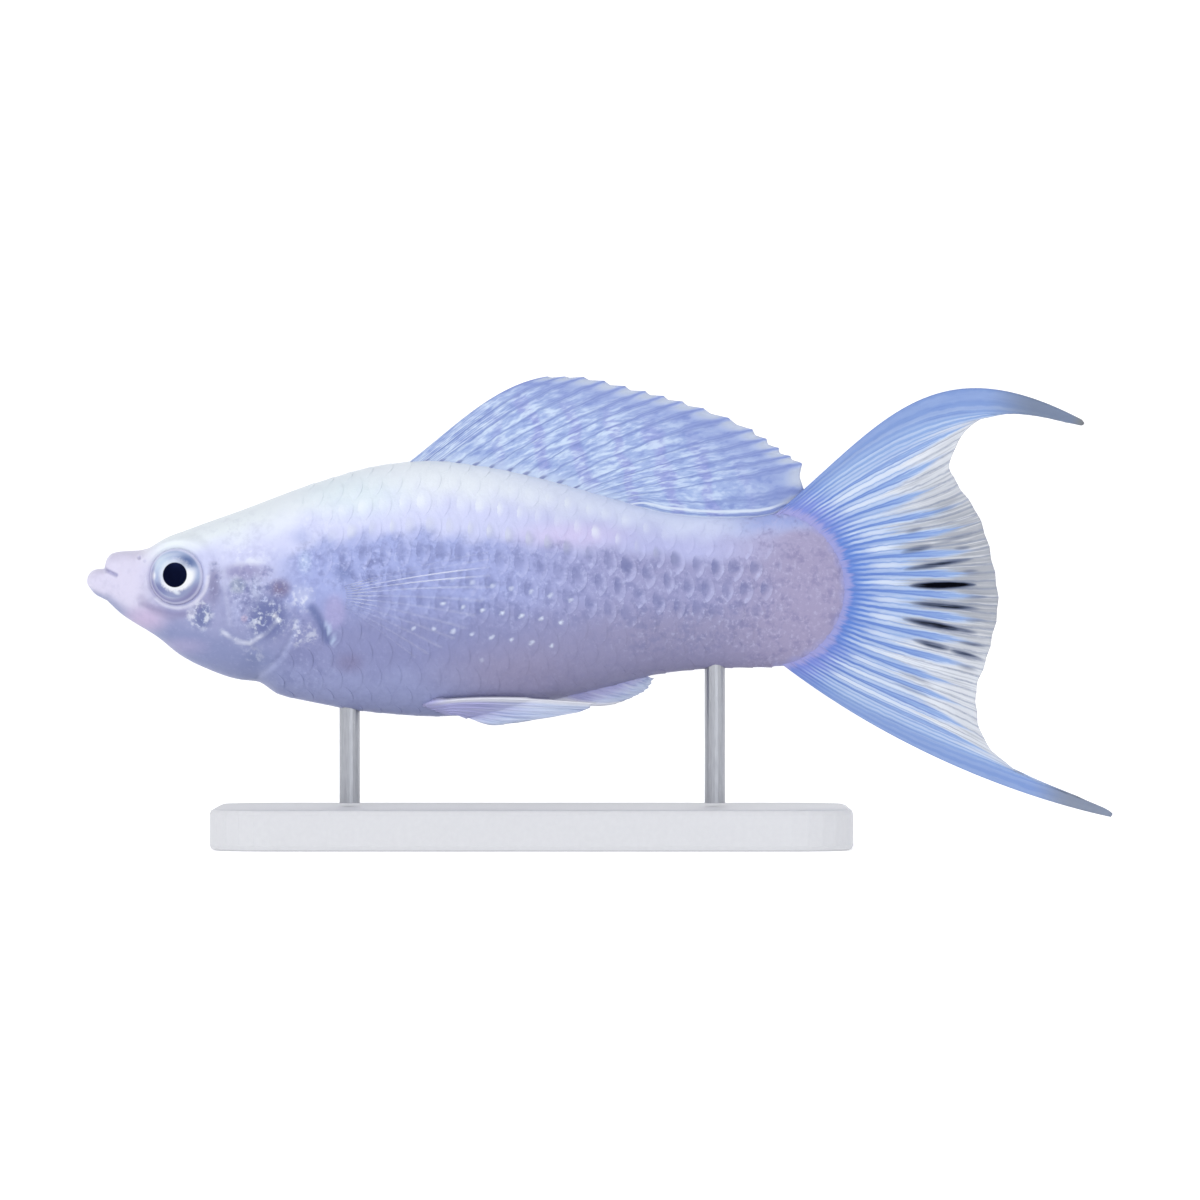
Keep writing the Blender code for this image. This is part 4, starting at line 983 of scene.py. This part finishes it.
def dorsal_surface(u, v):
    x0 = DORSAL_BASE[0] + (DORSAL_BASE[1] - DORSAL_BASE[0]) * u
    root = (x0, smooth(BACK_LINE, x0) - ROOT_SUNK)
    tip = smooth_point(DORSAL_TIPS, u)
    x, z = bent_ray(root, tip, smooth(DORSAL_ROOT_ANGLE, u), smooth(DORSAL_TIP_ANGLE, u), v)
    rest = softer_less(smooth(BACK_LINE, x), stalk_end(x), 0.25) - 0.1 + 0.5 * ease(v, 0.85, 1.0)
    rest = rest + DORSAL_LAST_GAP * (1 - u) / DORSAL_LAST_SHARE * ease(v, 0.0, 0.22)
    z = z + ease(u, 0.91, 0.98) * ease(v, 0.0, 0.16) * (rest - z)
    y = DORSAL_WAVE * v**1.5 * np.sin(2 * math.pi * (DORSAL_WAVE_TURNS * u + 0.15 * v))
    return x, y, z


def dorsal_count(u):
    """Which ray lies at u: evenly spaced in front, closer to one another at the rear."""
    return 13.1 * u + 3.3 * np.clip((u - 0.75) / 0.25, 0, 1) ** 1.3


def fin_sheet(name, surface, count_at, columns, rows, notch, thick, branch_from=0.5):
    """A fin laid on surface(u, v), ridged along rays that part in two past branch_from, and thickened.

    count_at(u) is whole at each ray. thick gives its thickness at the root, in the membrane and at
    the edge, and the ridge's height.
    """
    alone()
    bpy.ops.mesh.primitive_grid_add(x_subdivisions=columns, y_subdivisions=rows, size=2.0)
    made = bpy.context.object
    made.name = name
    grid = points_of(made)
    u, v = (grid[:, 0] + 1) / 2, (grid[:, 1] + 1) / 2
    v = v**0.95
    count = count_at(u)
    between = 1 - np.abs(2 * (count % 1) - 1)
    length = np.linalg.norm(np.subtract(surface(u, 1 + 0 * v), surface(u, 0 * v)), axis=0)
    reach = 1 - notch * between**0.8 / np.maximum(length, 1)
    points = np.stack(surface(u, v * reach), axis=-1)
    parting = 0.42 * ease(v, branch_from, 1.0)
    ridge = np.exp(-(((between - parting) / 0.2) ** 2)) * (1 - 0.6 * v)
    root, membrane, edge, ray_height = thick
    thickness = membrane + (root - membrane) * (1 - ease(v, 0.0, 0.25)) + 2 * ray_height * ridge
    thickness = thickness - (membrane - edge) * ease(v, 0.75, 1.0)
    move_points(made, placed(points))
    thickest = float(thickness.max())
    group = made.vertex_groups.new(name="thickness")
    for index, share in enumerate(thickness / thickest):
        group.add([index], float(share), "REPLACE")
    made.data.uv_layers[0].name = "Fin"
    values = {"u": u, "v": v, "ray": count, "along": v * length, "to_edge": (1 - v) * length}
    for value, numbers in values.items():
        write_values(made, value, numbers)
    sheet = made.modifiers.new("Thickness", "SOLIDIFY")
    sheet.thickness = thickest / 1000
    sheet.offset = 0.0
    sheet.vertex_group = group.name
    bpy.ops.object.modifier_apply(modifier=sheet.name)
    bpy.ops.object.shade_smooth()
    return made


FIN_GLOSS = {"Roughness": 0.45, "Coat_Weight": 0.15, "Coat_Roughness": 0.22, "Specular_IOR_Level": 0.25}
dorsal = fin_sheet(
    "dorsal_sail", dorsal_surface, dorsal_count, 270, 72, DORSAL_NOTCH, (0.9, 0.34, 0.16, 0.09), 0.7,
)
dorsal_finish, shader, place = new_finish("dorsal_fin_paint", **FIN_GLOSS)
u, v, ray, along, to_edge = values_of(shader, "u", "v", "ray", "along", "to_edge")


def between_rays(count):
    """The number of the space between two rays, and 0 on a ray to 1 midway."""
    centred = count.calc("FRACT") * 2 - 1
    return count.calc("FLOOR"), 1 - centred.calc("ABSOLUTE")


def on_fin(first, second, third=0.0):
    """A made-up place, for noise that runs along the rays."""
    return first.node("ShaderNodeCombineXYZ", {}, {"X": first, "Y": second, "Z": third})


count = ray + (place.noise(1.4, 2.0) - 0.5) * 0.30
_, inside = between_rays(count)
long_strokes = on_fin(along / 1.9, count * 2.0).noise(1.0, 2.0, 0.55)
short_strokes = on_fin(along / 1.0, count * 4.4, 3.0).noise(1.0, 3.0, 0.6)
woven = long_strokes * 0.6 + short_strokes * 0.4
threads = on_fin(along / 7, ray * 5).noise(1.0, 3.0, 0.6)
speckle = place.noise(0.3, 2.0)
x_wire, _, z_wire = place.parts()
colour = place.mix(rgb(164, 184, 229), rgb(154, 171, 220), v.ease(0.45, 0.95))
bands = (x_wire + z_wire * 0.28) * (2 * math.pi / 3.9) + (place.noise(2.5, 1.0) - 0.5) * 5
violet_band = bands.calc("SINE").ease(0.1, 0.9) * v.ease(0.85, 0.55) * x_wire.ease(-12.0, -8.0)
light = woven.ease(0.46, 0.62) * inside.ease(0.02, 0.22) * v.ease(1.0, 0.6)
ray_line = inside.ease(0.16, 0.03)
branch = (inside - v.ease(0.35, 1.0) * 0.42).calc("ABSOLUTE").ease(0.13, 0.03)
blade = inside.ease(0.75, 0.1) * v.ease(0.6, 0.88) * to_edge.ease(0.3, 1.2)
roots = v.ease(0.085, 0.055) * v.ease(0.015, 0.04) * inside.ease(0.4, 0.15) * u.ease(0.85, 0.75)
front_lines = on_fin(along / 30, ray * 9).noise(1.0, 2.0) - 0.5
in_front = u.ease(0.22, 0.10) * v.ease(0.75, 0.4)
last = (u - 1.0).calc("ABSOLUTE").ease(0.010, 0.003) + (u - 0.975).calc("ABSOLUTE").ease(0.006, 0.002)
clear = to_edge.ease(1.6, 0.3) * inside.ease(0.2, 0.6) * 0.3
colour = colour.coats(
    ((150, 148, 218), violet_band * (0.2 + 0.45 * speckle)),
    ((116, 136, 204), woven.ease(0.47, 0.36) * v.ease(0.03, 0.15) * 0.55),
    ((215, 232, 252), light * (0.85 - 0.22 * x_wire.ease(2.0, 12.0))),
    ((210, 226, 251), v.ease(0.15, 0.04) * 0.6),
    ((104, 124, 190), ray_line * v.ease(0.02, 0.12) * (0.15 + 0.5 * speckle)),
    ((110, 130, 198), branch * v.ease(0.35, 0.6) * 0.3),
    ((122, 139, 203), blade * 0.5),
    ((206, 218, 240), to_edge.ease(2.2, 0.5) * inside.ease(0.12, 0.5) * 0.8),
    ((122, 132, 184), roots * 0.8),
    ((106, 126, 190), in_front * front_lines.ease(0.0, 0.12) * 0.6),
    ((226, 236, 252), in_front * front_lines.ease(0.0, -0.12) * 0.5),
    ((232, 242, 254), last * v.ease(0.98, 0.85) * 0.8),
)
feed(shader, Base_Color=colour, Alpha=1 - clear, Normal=relief(speckle * 0.4 + threads * 0.6, 0.03))
dorsal.data.materials.append(dorsal_finish)
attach(dorsal, "root")
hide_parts("dorsal_fin")

# The tail fin: one lyre-shaped fan of branched rays round the stalk's rounded end, drawn out into two
# streamers. A single grid on the solid's curved sheet, ridged, thickened and painted ray by ray.
TAIL_INTERVALS, TAIL_RAY_OFFSET = 18.2, 0.31
TAIL_TIP_X = 50.0
TAIL_MARGIN = (
    (0.0, (47.1, 16.4)), (0.006, (47.3, 16.1)), (0.014, (47.0, 15.9)), (0.03, (45.9, 16.15)),
    (0.05, (44.2, 16.8)), (0.07, (42.4, 17.3)), (0.09, (40.3, 17.36)), (0.105, (39.0, 17.25)),
    (0.125, (37.4, 16.7)), (0.145, (36.2, 15.9)), (0.17, (35.0, 14.4)), (0.21, (34.15, 12.0)),
    (0.26, (35.1, 10.0)), (0.33, (36.9, 7.3)), (0.42, (38.2, 3.3)), (0.52, (38.9, -1.2)),
    (0.64, (37.9, -6.4)), (0.74, (36.7, -10.4)), (0.81, (36.9, -13.0)), (0.86, (38.0, -15.5)),
    (0.90, (39.7, -17.05)), (0.92, (41.0, -18.0)), (0.94, (43.2, -19.05)), (0.96, (45.7, -20.0)),
    (0.98, (48.3, -21.0)), (0.99, (49.6, -21.6)), (0.995, (TAIL_TIP_X, -21.95)), (1.0, (49.8, -22.25)),
)
TAIL_ROOT_SPREAD = (93.0, -89.0)
TAIL_ROOT_ANGLE = ((0.0, 40.0), (0.25, 33.0), (0.5, 0.0), (0.75, -30.0), (1.0, -38.0))
TAIL_TIP_ANGLE = (
    (0.0, -28.0), (0.05, -8.0), (0.1, 14.0), (0.17, 33.0), (0.26, 30.0), (0.5, 0.0), (0.74, -19.0),
    (0.84, -31.0), (0.93, -28.0), (1.0, -12.0),
)
TAIL_ROOT_PULL = ((0.0, 0.44), (0.12, 0.36), (0.5, 0.33), (0.9, 0.34), (1.0, 0.41))
TAIL_TIP_PULL = ((0.0, 0.53), (0.12, 0.34), (0.5, 0.33), (0.9, 0.32), (1.0, 0.23))
TAIL_WAVE, TAIL_WAVE_TURNS, TAIL_NOTCH, TAIL_ROOT_SUNK = 0.7, 0.75, 0.14, 0.7
# The dark dashes between the rays: from (x, z) to (x, z), half of its width and its strength
INK_DASHES = (
    ((30.2, 0.29), (36.7, 0.39), 0.27, 0.95), ((29.6, 1.85), (36.4, 2.92), 0.20, 0.62),
    ((32.6, 2.32), (35.2, 2.75), 0.19, 0.6), ((29.3, 3.5), (32.6, 4.25), 0.24, 0.45),
    ((32.0, 4.15), (36.9, 5.46), 0.18, 0.28), ((30.2, -1.37), (37.1, -1.98), 0.22, 0.64),
    ((29.5, -2.93), (35.8, -4.15), 0.24, 0.74), ((33.6, -3.7), (36.9, -4.35), 0.2, 0.5),
    ((30.5, -4.97), (34.4, -6.0), 0.24, 0.58), ((33.8, -5.85), (37.4, -6.95), 0.22, 0.54),
    ((34.9, -5.17), (37.7, -5.66), 0.13, 0.5), ((34.5, 3.9), (36.2, 4.1), 0.13, 0.4),
    ((35.3, 1.66), (36.9, 1.76), 0.12, 0.4), ((35.5, -0.88), (37.9, -0.78), 0.12, 0.3),
    ((35.6, -3.12), (37.8, -3.12), 0.12, 0.3), ((34.7, -7.4), (36.9, -8.0), 0.2, 0.3),
    ((31.9, 7.0), (34.9, 8.2), 0.2, 0.25), ((29.7, 5.4), (31.5, 5.95), 0.2, 0.3),
    ((30.5, 6.5), (32.8, 7.3), 0.18, 0.22), ((29.0, -8.0), (32.6, -9.5), 0.2, 0.25),
    ((28.6, -9.1), (32.2, -10.7), 0.2, 0.22),
)


def tail_surface(u, v):
    turn = np.radians(TAIL_ROOT_SPREAD[0] + (TAIL_ROOT_SPREAD[1] - TAIL_ROOT_SPREAD[0]) * u)
    root = (
        STALK_END_X + (STALK_END_LENGTH - TAIL_ROOT_SUNK) * np.cos(turn),
        (STALK_END_HALF_HEIGHT - TAIL_ROOT_SUNK) * np.sin(turn),
    )
    tip = smooth_point(TAIL_MARGIN, u)
    x, z = bent_ray(
        root, tip, smooth(TAIL_ROOT_ANGLE, u), smooth(TAIL_TIP_ANGLE, u), v,
        smooth(TAIL_ROOT_PULL, u), smooth(TAIL_TIP_PULL, u),
    )
    y = TAIL_WAVE * v**2 * np.sin(2 * math.pi * (TAIL_WAVE_TURNS * u - 0.1))
    return x, y, z


def tail_count(u):
    return TAIL_INTERVALS * u - TAIL_RAY_OFFSET


tail = fin_sheet("tail_fan", tail_surface, tail_count, 396, 96, TAIL_NOTCH, (0.95, 0.34, 0.15, 0.09), 0.35)
held = points_of(tail) * 1000
x, z = held[:, 0], held[:, 2] - FLOOR_TO_MIDLINE
ink_here = np.zeros(len(held))
for start, end, half_width, strength in INK_DASHES:
    share = (x - start[0]) * (end[0] - start[0]) + (z - start[1]) * (end[1] - start[1])
    swell_here = np.sin(math.pi * np.clip(share / math.dist(start, end) ** 2, 0, 1))
    width = half_width * np.clip(swell_here, 0.02, 1) ** 0.35 + 0.02
    from_it = from_line((start, end), x, z)
    fade = 0.35 + 0.65 * np.clip(swell_here, 0, 1) ** 0.7
    ink_here = np.maximum(ink_here, strength * fade * ease(from_it, 2.2 * width, 0.1 * width))
write_values(tail, "ink", ink_here)

tail_finish, shader, place = new_finish("tail_fin_paint", **FIN_GLOSS)
u, v, ray, along, to_edge = values_of(shader, "u", "v", "ray", "along", "to_edge")
count = ray + (place.noise(1.2, 2.0) - 0.5) * 0.08
cell, inside = between_rays(count)
third, hair = between_rays(count * 3 + (place.noise(0.9, 2.0) - 0.5) * 0.3)
luck, lot = cell.chance(), third.chance()
threads = on_fin(along / 8, ray * 9).noise(1.0, 3.0, 0.65)
dashes = on_fin(along / 2.2, ray * 6, 5.0).noise(1.0, 2.0, 0.5)
speckle = place.noise(0.28, 2.0)
middle = u.ease(0.16, 0.36) * u.ease(0.86, 0.66)
lead = u.ease(0.15, 0.05) + u.ease(0.87, 0.96)
inner = 1 - lead.calc("MINIMUM", 1.0)
colour = place.mix(rgb(90, 131, 214), rgb(152, 181, 228), along.ease(1.8, 6.8) * 0.85)
hairs = hair.ease(0.28, 0.72) * (0.35 + 0.65 * lot) * along.ease(1.0, 3.0) * (0.45 + 0.9 * dashes)
wedge = inside.ease(0.30, 0.75) * along.ease(2.6, 4.6) * (1 - along.ease(5.2, 7.0) * middle * 0.6)
fork = inside - 0.05 - 0.22 * along.ease(3.0, 12.0)
blue_line = (fork.calc("ABSOLUTE") + 0.10 * to_edge.ease(7.0, 2.0)).ease(0.13, 0.03)
pale = place.mix(rgb(230, 235, 244), rgb(176, 181, 191), u.ease(0.16, 0.38) * u.ease(0.70, 0.54))
feather = (threads - 0.5) * 9 + (lot - 0.5) * 3.0
margin = (to_edge + feather * 0.6 + (0.5 - inside) * 6).ease(6.6, 3.2) * inner
margin = margin.calc("MAXIMUM", middle * inside.ease(0.30, 0.55) * (along + feather).ease(6.0, 9.0))
near_ray = middle * inside.ease(0.40, 0.15) * along.ease(3.5, 7.0) * (to_edge + feather).ease(3.5, 6.5)
outer_edge = u.ease(0.07, 0.01) + u.ease(0.93, 0.99)
ink = value_of(shader, "ink") * (0.15 + 0.8 * dashes + 1.1 * threads)
x_wire = place.parts()[0]
inked = ink.ease(0.0, 0.4)
clear = margin * (1 - inked) * to_edge.ease(5.0, 0.5) * 0.28
colour = colour.coats(
    ((132, 142, 222), along.ease(4.5, 1.8) * (1 - middle) * 0.65),
    ((92, 122, 200), threads.ease(0.48, 0.36) * 0.4),
    ((214, 230, 250), hairs * (0.60 + 0.25 * inner)),
    ((230, 239, 252), wedge * inner * hair.ease(0.02, 0.3) * (0.3 + 0.45 * luck)),
    (pale, margin),
    ((100, 134, 210), blue_line * (to_edge + feather * 0.6).ease(1.8, 6.0) * inner * 0.8),
    ((116, 150, 216), near_ray * 0.4),
    ((134, 146, 176), hair.ease(0.42, 0.08) * margin * (0.3 + 0.5 * speckle)),
    ((126, 136, 156), threads.ease(0.48, 0.36) * margin * 0.4),
    ((242, 245, 250), threads.ease(0.54, 0.66) * margin * 0.6),
    ((108, 136, 202), outer_edge * (0.25 + 0.5 * threads)),
    ((92, 104, 134), ink.ease(0.0, 0.62)),
    ((8, 10, 18), ink.ease(0.40, 0.86)),
    ((114, 126, 146), x_wire.ease(37.0, 42.5) * u.ease(0.3, 0.1) * 0.85),
    ((128, 130, 130), x_wire.ease(45.8, 47.0) * u.ease(0.3, 0.1) * 0.8),
    ((132, 141, 158), x_wire.ease(41.5, 46.0) * u.ease(0.7, 0.9) * 0.9),
    ((176, 172, 222), (along + (dashes - 0.5) * 2).ease(1.6, 0.8) * 0.7),
)
feed(
    shader, Base_Color=colour, Alpha=1 - clear, Metallic=ink.ease(0.40, 0.86), Coat_Weight=0.15 * (1 - inked),
    Normal=relief(speckle * 0.4 + threads * 0.6, 0.035),
)
tail.data.materials.append(tail_finish)
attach(tail, "root")
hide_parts("tail_fin_upper_lobe", "tail_fin_middle", "tail_fin_lower_lobe")

# The anal fin: a small folded fan of eight rays under the rear of the belly, held close to the body.
# Made as the other fins are.
ANAL_RAYS = 8
ANAL_BASE = (-5.4, 4.0)
ANAL_TIPS = ((0.0, (1.5, -11.2)), (0.35, (3.4, -10.5)), (0.7, (4.7, -9.7)), (1.0, (5.3, -8.75)))


def anal_surface(u, v):
    x0 = ANAL_BASE[0] + (ANAL_BASE[1] - ANAL_BASE[0]) * u
    root = (x0, smooth(BELLY_LINE, x0) + ROOT_SUNK)
    tip = smooth_point(ANAL_TIPS, u)
    x, z = bent_ray(root, tip, -24 + 10 * u, 12 - 6 * u, v)
    return x, 0.2 * v * np.sin(math.pi * u), z


anal = fin_sheet("anal_fan", anal_surface, lambda u: (ANAL_RAYS - 1) * u, 98, 40, 0.2, (0.7, 0.3, 0.16, 0.08))

# The pelvic fins: a pair of narrow blades under the belly, swept back along it, of six rays each.
# One is the mirror image of the other, and both keep clear of the flanks.
PELVIC_RAYS = 6
PELVIC_ROOT = ((-17.2, -11.6), (-15.0, -12.35))
PELVIC_TIPS = ((0.0, (-0.4, -11.1)), (0.3, (-1.4, -11.8)), (0.65, (-5.5, -12.6)), (1.0, (-9.9, -13.2)))
PELVIC_Y, PELVIC_SPLAY, FIN_ROOT = 2.75, 1.1, 0.95


def pelvic_surface(side):
    def surface(u, v):
        (x0, z0), (x1, z1) = PELVIC_ROOT
        root = (x0 + (x1 - x0) * u, z0 + (z1 - z0) * u + 0.5)
        tip = smooth_point(PELVIC_TIPS, u)
        x, z = bent_ray(root, tip, 9 - 17 * u, -4 + 12 * u, v)
        clear = flank_y(x, z, GAP + FIN_ROOT / 2) - 1.2 * ease(-v, -0.12, 0.0)
        y = np.maximum(PELVIC_Y - 0.9 * u + PELVIC_SPLAY * v - 0.8 * ease(-v, -0.12, 0.0), clear)
        return x, side * y, z

    return surface


pelvic_pair = [
    fin_sheet(
        f"pelvic_blade_{name}", pelvic_surface(side), lambda u: (PELVIC_RAYS - 1) * u, 70, 60, 0.2,
        (0.8, 0.3, 0.14, 0.08),
    )
    for side, name in ((-1, "left"), (1, "right"))
]

low_finish, shader, place = new_finish("low_fin_paint", **FIN_GLOSS)
u, v, ray = values_of(shader, "u", "v", "ray")
_, inside = between_rays(ray)
threads = on_fin(v * 2.2, ray * 2.4).noise(1.0, 3.0)
colour = place.mix(rgb(190, 190, 238), rgb(204, 217, 246), v.ease(0.3, 0.8))
colour = colour.coats(
    ((130, 144, 200), threads.ease(0.48, 0.34) * 0.5),
    ((226, 232, 250), threads.ease(0.52, 0.66) * v.ease(0.1, 0.5) * 0.6),
    ((214, 216, 242), inside.ease(0.3, 0.1) * v.ease(0.2, 0.6) * 0.3),
    ((246, 247, 255), u.ease(0.18, 0.05) * v.ease(0.02, 0.2) * 0.85),
)
feed(shader, Base_Color=colour, Alpha=1 - v.ease(0.6, 1.0) * 0.15, Normal=relief(threads, 0.03))
for piece, node in zip((anal, *pelvic_pair), ("anal_fin", "pelvic_fin_left", "pelvic_fin_right")):
    piece.data.materials.append(low_finish)
    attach(piece, "root")
    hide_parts(node)

# The pectoral fins: clear fans of twelve hair-fine rays that spring from the flank behind the gill
# cover. Only the root and a few of the upper rays are milky enough to be seen.
PECTORAL_RAYS = 12
PECTORAL_ROOT = ((-24.5, 0.2), (-24.2, -1.85))
PECTORAL_FAN = ((0.0, (17.0, 14.4)), (0.3, (9.0, 14.0)), (0.65, (-11.0, 11.4)), (1.0, (-35.0, 7.8)))
PECTORAL_SPLAY = 13.0


def pectoral_surface(side):
    def surface(u, v):
        (x0, z0), (x1, z1) = PECTORAL_ROOT
        root_x, root_z = x0 + (x1 - x0) * u, z0 + (z1 - z0) * u
        angle = np.radians(smooth([(k, a) for k, (a, _) in PECTORAL_FAN], u))
        length = smooth([(k, n) for k, (_, n) in PECTORAL_FAN], u)
        sag = 0.06 * length * v**2
        x = root_x - 0.4 + (length + 0.4) * v * np.cos(angle)
        z = root_z + length * v * np.sin(angle) - sag * np.cos(angle)
        out = length * v * math.tan(math.radians(PECTORAL_SPLAY)) * (1 - 0.25 * v)
        y = flank_y(root_x, root_z) + GAP + FIN_ROOT / 2 + out - 0.9 * ease(-v, -0.09, 0.0)
        return x, side * y, z

    return surface


pectoral_finish, shader, place = new_finish(
    "clear_fin_paint", Roughness=0.35, Coat_Weight=0.2, Coat_Roughness=0.15,
)
u, v, ray = values_of(shader, "u", "v", "ray")
_, inside = between_rays(ray)
ray_line = inside.ease(0.36, 0.08)
colour = place.mix(rgb(172, 182, 232), rgb(232, 237, 254), ray_line)
near_root = v.ease(0.30, 0.08)
upper_rays = u.ease(0.10, 0.18) * u.ease(0.42, 0.20) * v.ease(0.98, 0.7) * v.ease(0.15, 0.5)
solid_share = 0.03 + ray_line * (0.03 + 0.42 * near_root * u.ease(0.9, 0.5) + 0.45 * upper_rays)
solid_share = solid_share.calc("MAXIMUM", v.ease(0.05, 0.02) * 0.2)
feed(shader, Base_Color=colour, Alpha=solid_share)
for side, name in ((-1, "left"), (1, "right")):
    piece = fin_sheet(
        f"pectoral_fan_{name}", pectoral_surface(side), lambda u: (PECTORAL_RAYS - 1) * u, 154, 48, 0.2,
        (0.5, 0.14, 0.07, 0.05), 0.6,
    )
    piece.data.materials.append(pectoral_finish)
    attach(piece, "root")
    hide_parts(f"pectoral_fin_{name}")

# The stand: a flat pale base of satin-sprayed board and two brushed steel rods pressed into the belly.
# The solids are right as they are and stay, with better finishes.
board_finish, shader, place = new_finish("satin_board", Roughness=0.5)
speck = place.noise(0.5, 2.0)
feed(shader, Base_Color=place.mix(rgb(226, 227, 230), rgb(218, 219, 223), speck), Normal=relief(speck, 0.02))
steel_finish, shader, place = new_finish("brushed_steel", Metallic=1.0)
brushed = place.times(1, 1, 0.08).noise(0.12, 2.0)
feed(
    shader, Base_Color=place.mix(rgb(196, 198, 204), rgb(164, 167, 174), brushed),
    Roughness=0.22 + 0.2 * brushed, Normal=relief(brushed, 0.01),
)
finishes = {"stand_base": board_finish, "stand_rod_front": steel_finish, "stand_rod_rear": steel_finish}
for name, finish in finishes.items():
    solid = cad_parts[name]
    alone()
    solid.select_set(True)
    bpy.context.view_layer.objects.active = solid
    bpy.ops.object.shade_smooth_by_angle(angle=math.radians(35))
    solid.data.materials.clear()
    solid.data.materials.append(finish)
